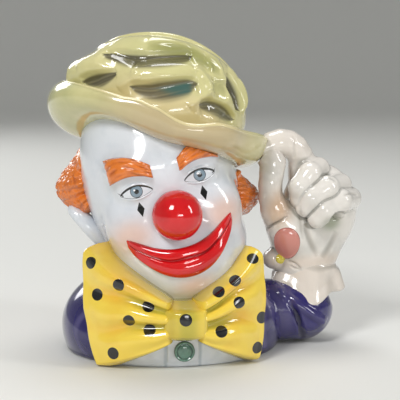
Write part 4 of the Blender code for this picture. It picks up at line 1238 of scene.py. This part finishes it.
def glove_skin(form, rows):
    """Loops on the glove with their wrinkles pressed in, and its paints.

    Grey painted shade lies in the creases and wrinkles, green painted shade under the little finger, and
    warm ivory at the ball of the thumb and on the hem.
    """
    outward = normals_of(form, rows)
    marks = strokes_on(rows, outward, WRINKLES, WRINKLE_DEPTH)
    pressed = np.max(marks, 0)
    height = rows[..., 2]
    # Green painted shade in the hollow under the little finger.
    green = np.exp(-(((rows[..., 0] - 83) / 6) ** 2 + ((height - 65) / 5) ** 2)) * (rows[..., 1] < -3)
    ball = np.exp(-(((rows[..., 0] - 54) / 8) ** 2 + ((height - 73) / 11) ** 2)) * (rows[..., 1] < 3)
    paints = {
        "pool": 0.9 * creases_at(form, rows, outward),
        "warm": np.clip(0.9 * ball + 0.25 * step(height, 84, 108) + 0.4 * bump(height, 44, 8), 0, 1),
        "green_painted_shade": green,
        # Grey painted shade in the pressed wrinkles and the creases.
        "crease_painted_shade": np.clip(0.7 * pressed + 0.5 * creases_at(form, rows, outward) ** 2, 0, 1),
    }
    return rows - outward * pressed[..., None], paints


def hand():
    """Palm and curled fingers: rays fanned on their soft form."""
    rows, paints = glove_skin(palm_and_roots, wrapped(palm_and_roots, (70, 5, 34), (79, 3, 90), 190, 250))
    return surface("hand", rows, GLOVE_GLAZE, paints)


def handle_finger(name, stations, own_form):
    """Index finger or thumb: rays square to its path, cast on it and the palm joined with a fillet."""
    def joined(points):
        return join(own_form(points), palm_form(points) + 0.12, 2.5)

    rows = around_path(joined, curve_through(stations, 84), 90, 1.2)
    rows, paints = glove_skin(joined, rows)
    return surface(name, rows, GLOVE_GLAZE, paints)


# Folds of the sleeve, as seen from the front at a depth: points as (x, z), half width and height.
SLEEVE_DEPTH = -14.0
SLEEVE_FOLDS = (
    (((51.6, 33.9), (58.1, 27.3), (65.6, 21.8), (75.4, 15.0), (80.0, 12.6)), 3.4, 1.5),
    (((56.5, 30.6), (62.5, 19.7), (65.8, 11.5), (68.0, 4.0)), 2.6, -1.4),
    (((66.0, 11.5), (72.2, 9.7), (79.2, 12.7)), 3.0, 0.6),
)


def sleeve():
    """The sleeve with folds at the elbow; round the wrist an orange lining shows."""
    rows = wrapped(sleeve_form, (57, -1, 18), (71, 0, 22), 120, 160)
    outward = normals_of(sleeve_form, rows)
    folds = sum(strokes_on(rows, outward, SLEEVE_FOLDS, SLEEVE_DEPTH))
    x, y, z = rows[..., 0], rows[..., 1], rows[..., 2]
    behind = 0.7 * np.sin(0.5 * (z - 0.5 * x)) * bump(z, 16, 16) * step(x, 52, 60) * step(y, -2, 6)
    lift = folds + behind
    rows = rows + outward * lift[..., None]
    dry = np.clip(1.2 * bump(x, 56, 9) * step(-y, 4, 12) + 0.5 * np.clip(lift, 0, 1), 0, 1)
    lining = np.minimum(z - 36.0, 66 - x)
    pool = np.clip(-lift, 0, 1) + 0.4 * step(-z, -8, -2)
    return surface("sleeve", rows, SLEEVE_GLAZE, {"pool": pool, "coat_streak": 0.8 * dry, "lining": lining})


def cuff():
    """The glove's flared hem: a turned profile whose radius and height wave round the wrist."""
    centre = np.array([73.5, 5.0, 35.0])
    right, back, up = axes(np.array(math.radians(-7)))
    around = np.linspace(0, 2 * math.pi, 200, endpoint=False)
    wave = 1 + 0.03 * np.cos(3 * around + 0.7) + 0.075 * np.cos(5 * around - 0.1)
    wave = wave + 0.01 * np.cos(11 * around)
    profile = curve_through(
        ((12.0, 9.0), (14.5, 7.7), (15.8, 4.0), (17.4, -0.6), (19.2, -4.5), (19.8, -6.6), (18.2, -8.0),
         (16.0, -6.8), (14.0, -5.0), (10.0, -4.0)), 70)
    rows = []
    for out, rise in profile:
        share = float(step(out, 14.6, 17.4))
        reach = out * (1 + (wave - 1) * share)
        loop = right * (np.sin(around) * reach)[:, None] - back * (0.95 * np.cos(around) * reach)[:, None]
        drop = (-4.4 * np.cos(2 * around) - 1.4 * np.cos(5 * around - 0.1)) * share
        rows.append(centre + loop + up * (rise + drop)[:, None])
    seam = 0.8 * bump(profile[:, 1], 6.5, 2.0)[:, None] * np.ones((1, 200))
    valleys = np.clip(-8 * (wave - 1), 0, 1)[None, :] * step(profile[:, 0], 15, 18)[:, None]
    return surface("cuff", rows, GLOVE_GLAZE, {"pool": np.clip(seam + 0.6 * valleys, 0, 1), "warm": 0.3})


def wrist_patch(name, place, out_at, half_sizes, proud, columns, paint):
    """A low pillow on the glove: an egg of rays cast on the hand's form, domed by the root of 1 - r^2."""
    around = np.linspace(0, 2 * math.pi, columns, endpoint=False)
    shares = np.concatenate([np.linspace(0.02, 1, 34), np.linspace(1, 0.1, 4)])
    behind = np.arange(len(shares)) >= 34
    egg = 1 + 0.10 * np.sin(around)
    x = place[0] + half_sizes[0] * shares[:, None] * np.cos(around) * egg
    z = place[1] + half_sizes[1] * shares[:, None] * np.sin(around)
    origin = np.stack([x, 0 * x + out_at, z], -1)
    toward = np.array([-0.25, -0.97, 0.0])
    skin = cast(palm_and_roots, origin, toward + 0 * origin, reach=40)
    dome = -SUNK + (proud + SUNK) * np.sqrt(np.clip(1 - shares**2, 0, 1)) ** 0.8
    dome += 0.25 * bump(shares, 0.86, 0.1)
    height = np.where(behind, -ROOT, dome)
    rows = skin + normals_of(palm_and_roots, skin) * height[:, None, None]
    ring_line = bump(shares, 0.97, 0.1)[:, None] * np.ones((1, columns))
    return surface(name, rows, GLOVE_GLAZE, {"pool": 0.15, paint: 1.0, "rose_edge": 0.9 * ring_line})


def stage():
    """A pale floor that rises far off in a round cove."""
    sides = 96
    around = np.linspace(0, 2 * math.pi, sides, endpoint=False)
    cove = [(r, 0.0) for r in (0.2, 0.6, 1.2)]
    cove += [(1.8 + 0.9 * math.sin(t), 0.9 * (1 - math.cos(t))) for t in np.linspace(0, math.pi / 2, 24)]
    cove.append((2.7, 3.0))
    points = [(r * math.cos(a), r * math.sin(a), z) for r, z in cove for a in around] + [(0.0, 0.0, 0.0)]
    faces = []
    for row in range(len(cove) - 1):
        for k in range(sides):
            a, b = row * sides + k, row * sides + (k + 1) % sides
            faces.append((a, a + sides, b + sides, b))
    faces += [(len(points) - 1, k, (k + 1) % sides) for k in range(sides)]
    mesh = bpy.data.meshes.new("floor")
    mesh.from_pydata(points, [], faces)
    mesh.shade_smooth()
    paper = bpy.data.materials.new("matt_pale_paper")
    paper.use_nodes = True
    paper.node_tree.nodes["Principled BSDF"].inputs["Base Color"].default_value = linear("#E2E2DE")
    paper.node_tree.nodes["Principled BSDF"].inputs["Roughness"].default_value = 0.8
    mesh.materials.append(paper)
    floor = bpy.data.objects.new("floor", mesh)
    bpy.context.scene.collection.objects.link(floor)


# Softboxes: place, size in metres and power in watts. A large key from the upper left, a strip on the right,
# a low fill and a light over the top, so the glaze shows clear window-like highlights.
LIGHTS = (
    ((-0.70, -0.90, 1.05), (0.40, 0.40), 11.5),
    ((0.95, -0.55, 0.60), (0.16, 0.6), 3.6),
    ((0.15, -1.3, 0.25), (0.5, 0.16), 2.6),
    ((0.1, 0.35, 1.4), (0.6, 0.6), 6.5),
    ((-0.5, 1.1, 0.6), (0.6, 0.4), 3.5),
)


# The camera: what it looks at and how far off it is, in mm, and its focal length in widths of the picture.
CAMERA_TARGET = (14.6, 0.0, 77.0)
CAMERA_DISTANCE = 650
FOCAL_SHARE = 1240 / 400
SENSOR_WIDTH = 36.0


def lights_and_camera():
    """Area lights that face the jug, a grey world, and the camera at the photograph's angle."""
    aim = Vector((0.0, 0.0, 0.08))
    for number, (place, size, power) in enumerate(LIGHTS):
        lamp = bpy.data.lights.new(f"softbox_{number}", "AREA")
        lamp.shape = "RECTANGLE"
        lamp.size, lamp.size_y = size
        lamp.energy = power
        box = bpy.data.objects.new(lamp.name, lamp)
        box.location = place
        box.rotation_euler = (aim - Vector(place)).to_track_quat("-Z", "Y").to_euler()
        bpy.context.scene.collection.objects.link(box)
    world = bpy.data.worlds.new("grey_room")
    world.use_nodes = True
    world.node_tree.nodes["Background"].inputs["Color"].default_value = linear("#D6D8DC")
    world.node_tree.nodes["Background"].inputs["Strength"].default_value = 0.31
    bpy.context.scene.world = world
    target = Vector(CAMERA_TARGET) * SHARE
    distance = CAMERA_DISTANCE * SHARE
    back = Vector(TOWARD)
    lens = bpy.data.cameras.new("camera")
    lens.sensor_width = SENSOR_WIDTH
    lens.lens = SENSOR_WIDTH * FOCAL_SHARE
    camera = bpy.data.objects.new("camera", lens)
    camera.location = target + back * distance
    camera.rotation_euler = (-back).to_track_quat("-Z", "Y").to_euler()
    bpy.context.scene.collection.objects.link(camera)
    bpy.context.scene.camera = camera
    bpy.context.scene.view_settings.view_transform = "Standard"


body_shell()
hat_and_lining()
nose()
lips()
for side in (-1, 1):
    brow(side)
    eye(side)
    ear(side)
    bow_wing(side)
hair()
bow_knot()
shirt_button()
hand()
handle_finger("index_finger", INDEX_FINGER, index_form)
handle_finger("thumb", THUMB, thumb_form)
sleeve()
cuff()
wrist_patch("rose_opening", (61.2, 54.6), -2.0, (7.4, 9.0), 1.2, 90, "rose")
wrist_patch("wrist_button", (57.6, 45.8), -2.0, (2.6, 2.6), 1.6, 48, "lemon")
stage()
lights_and_camera()
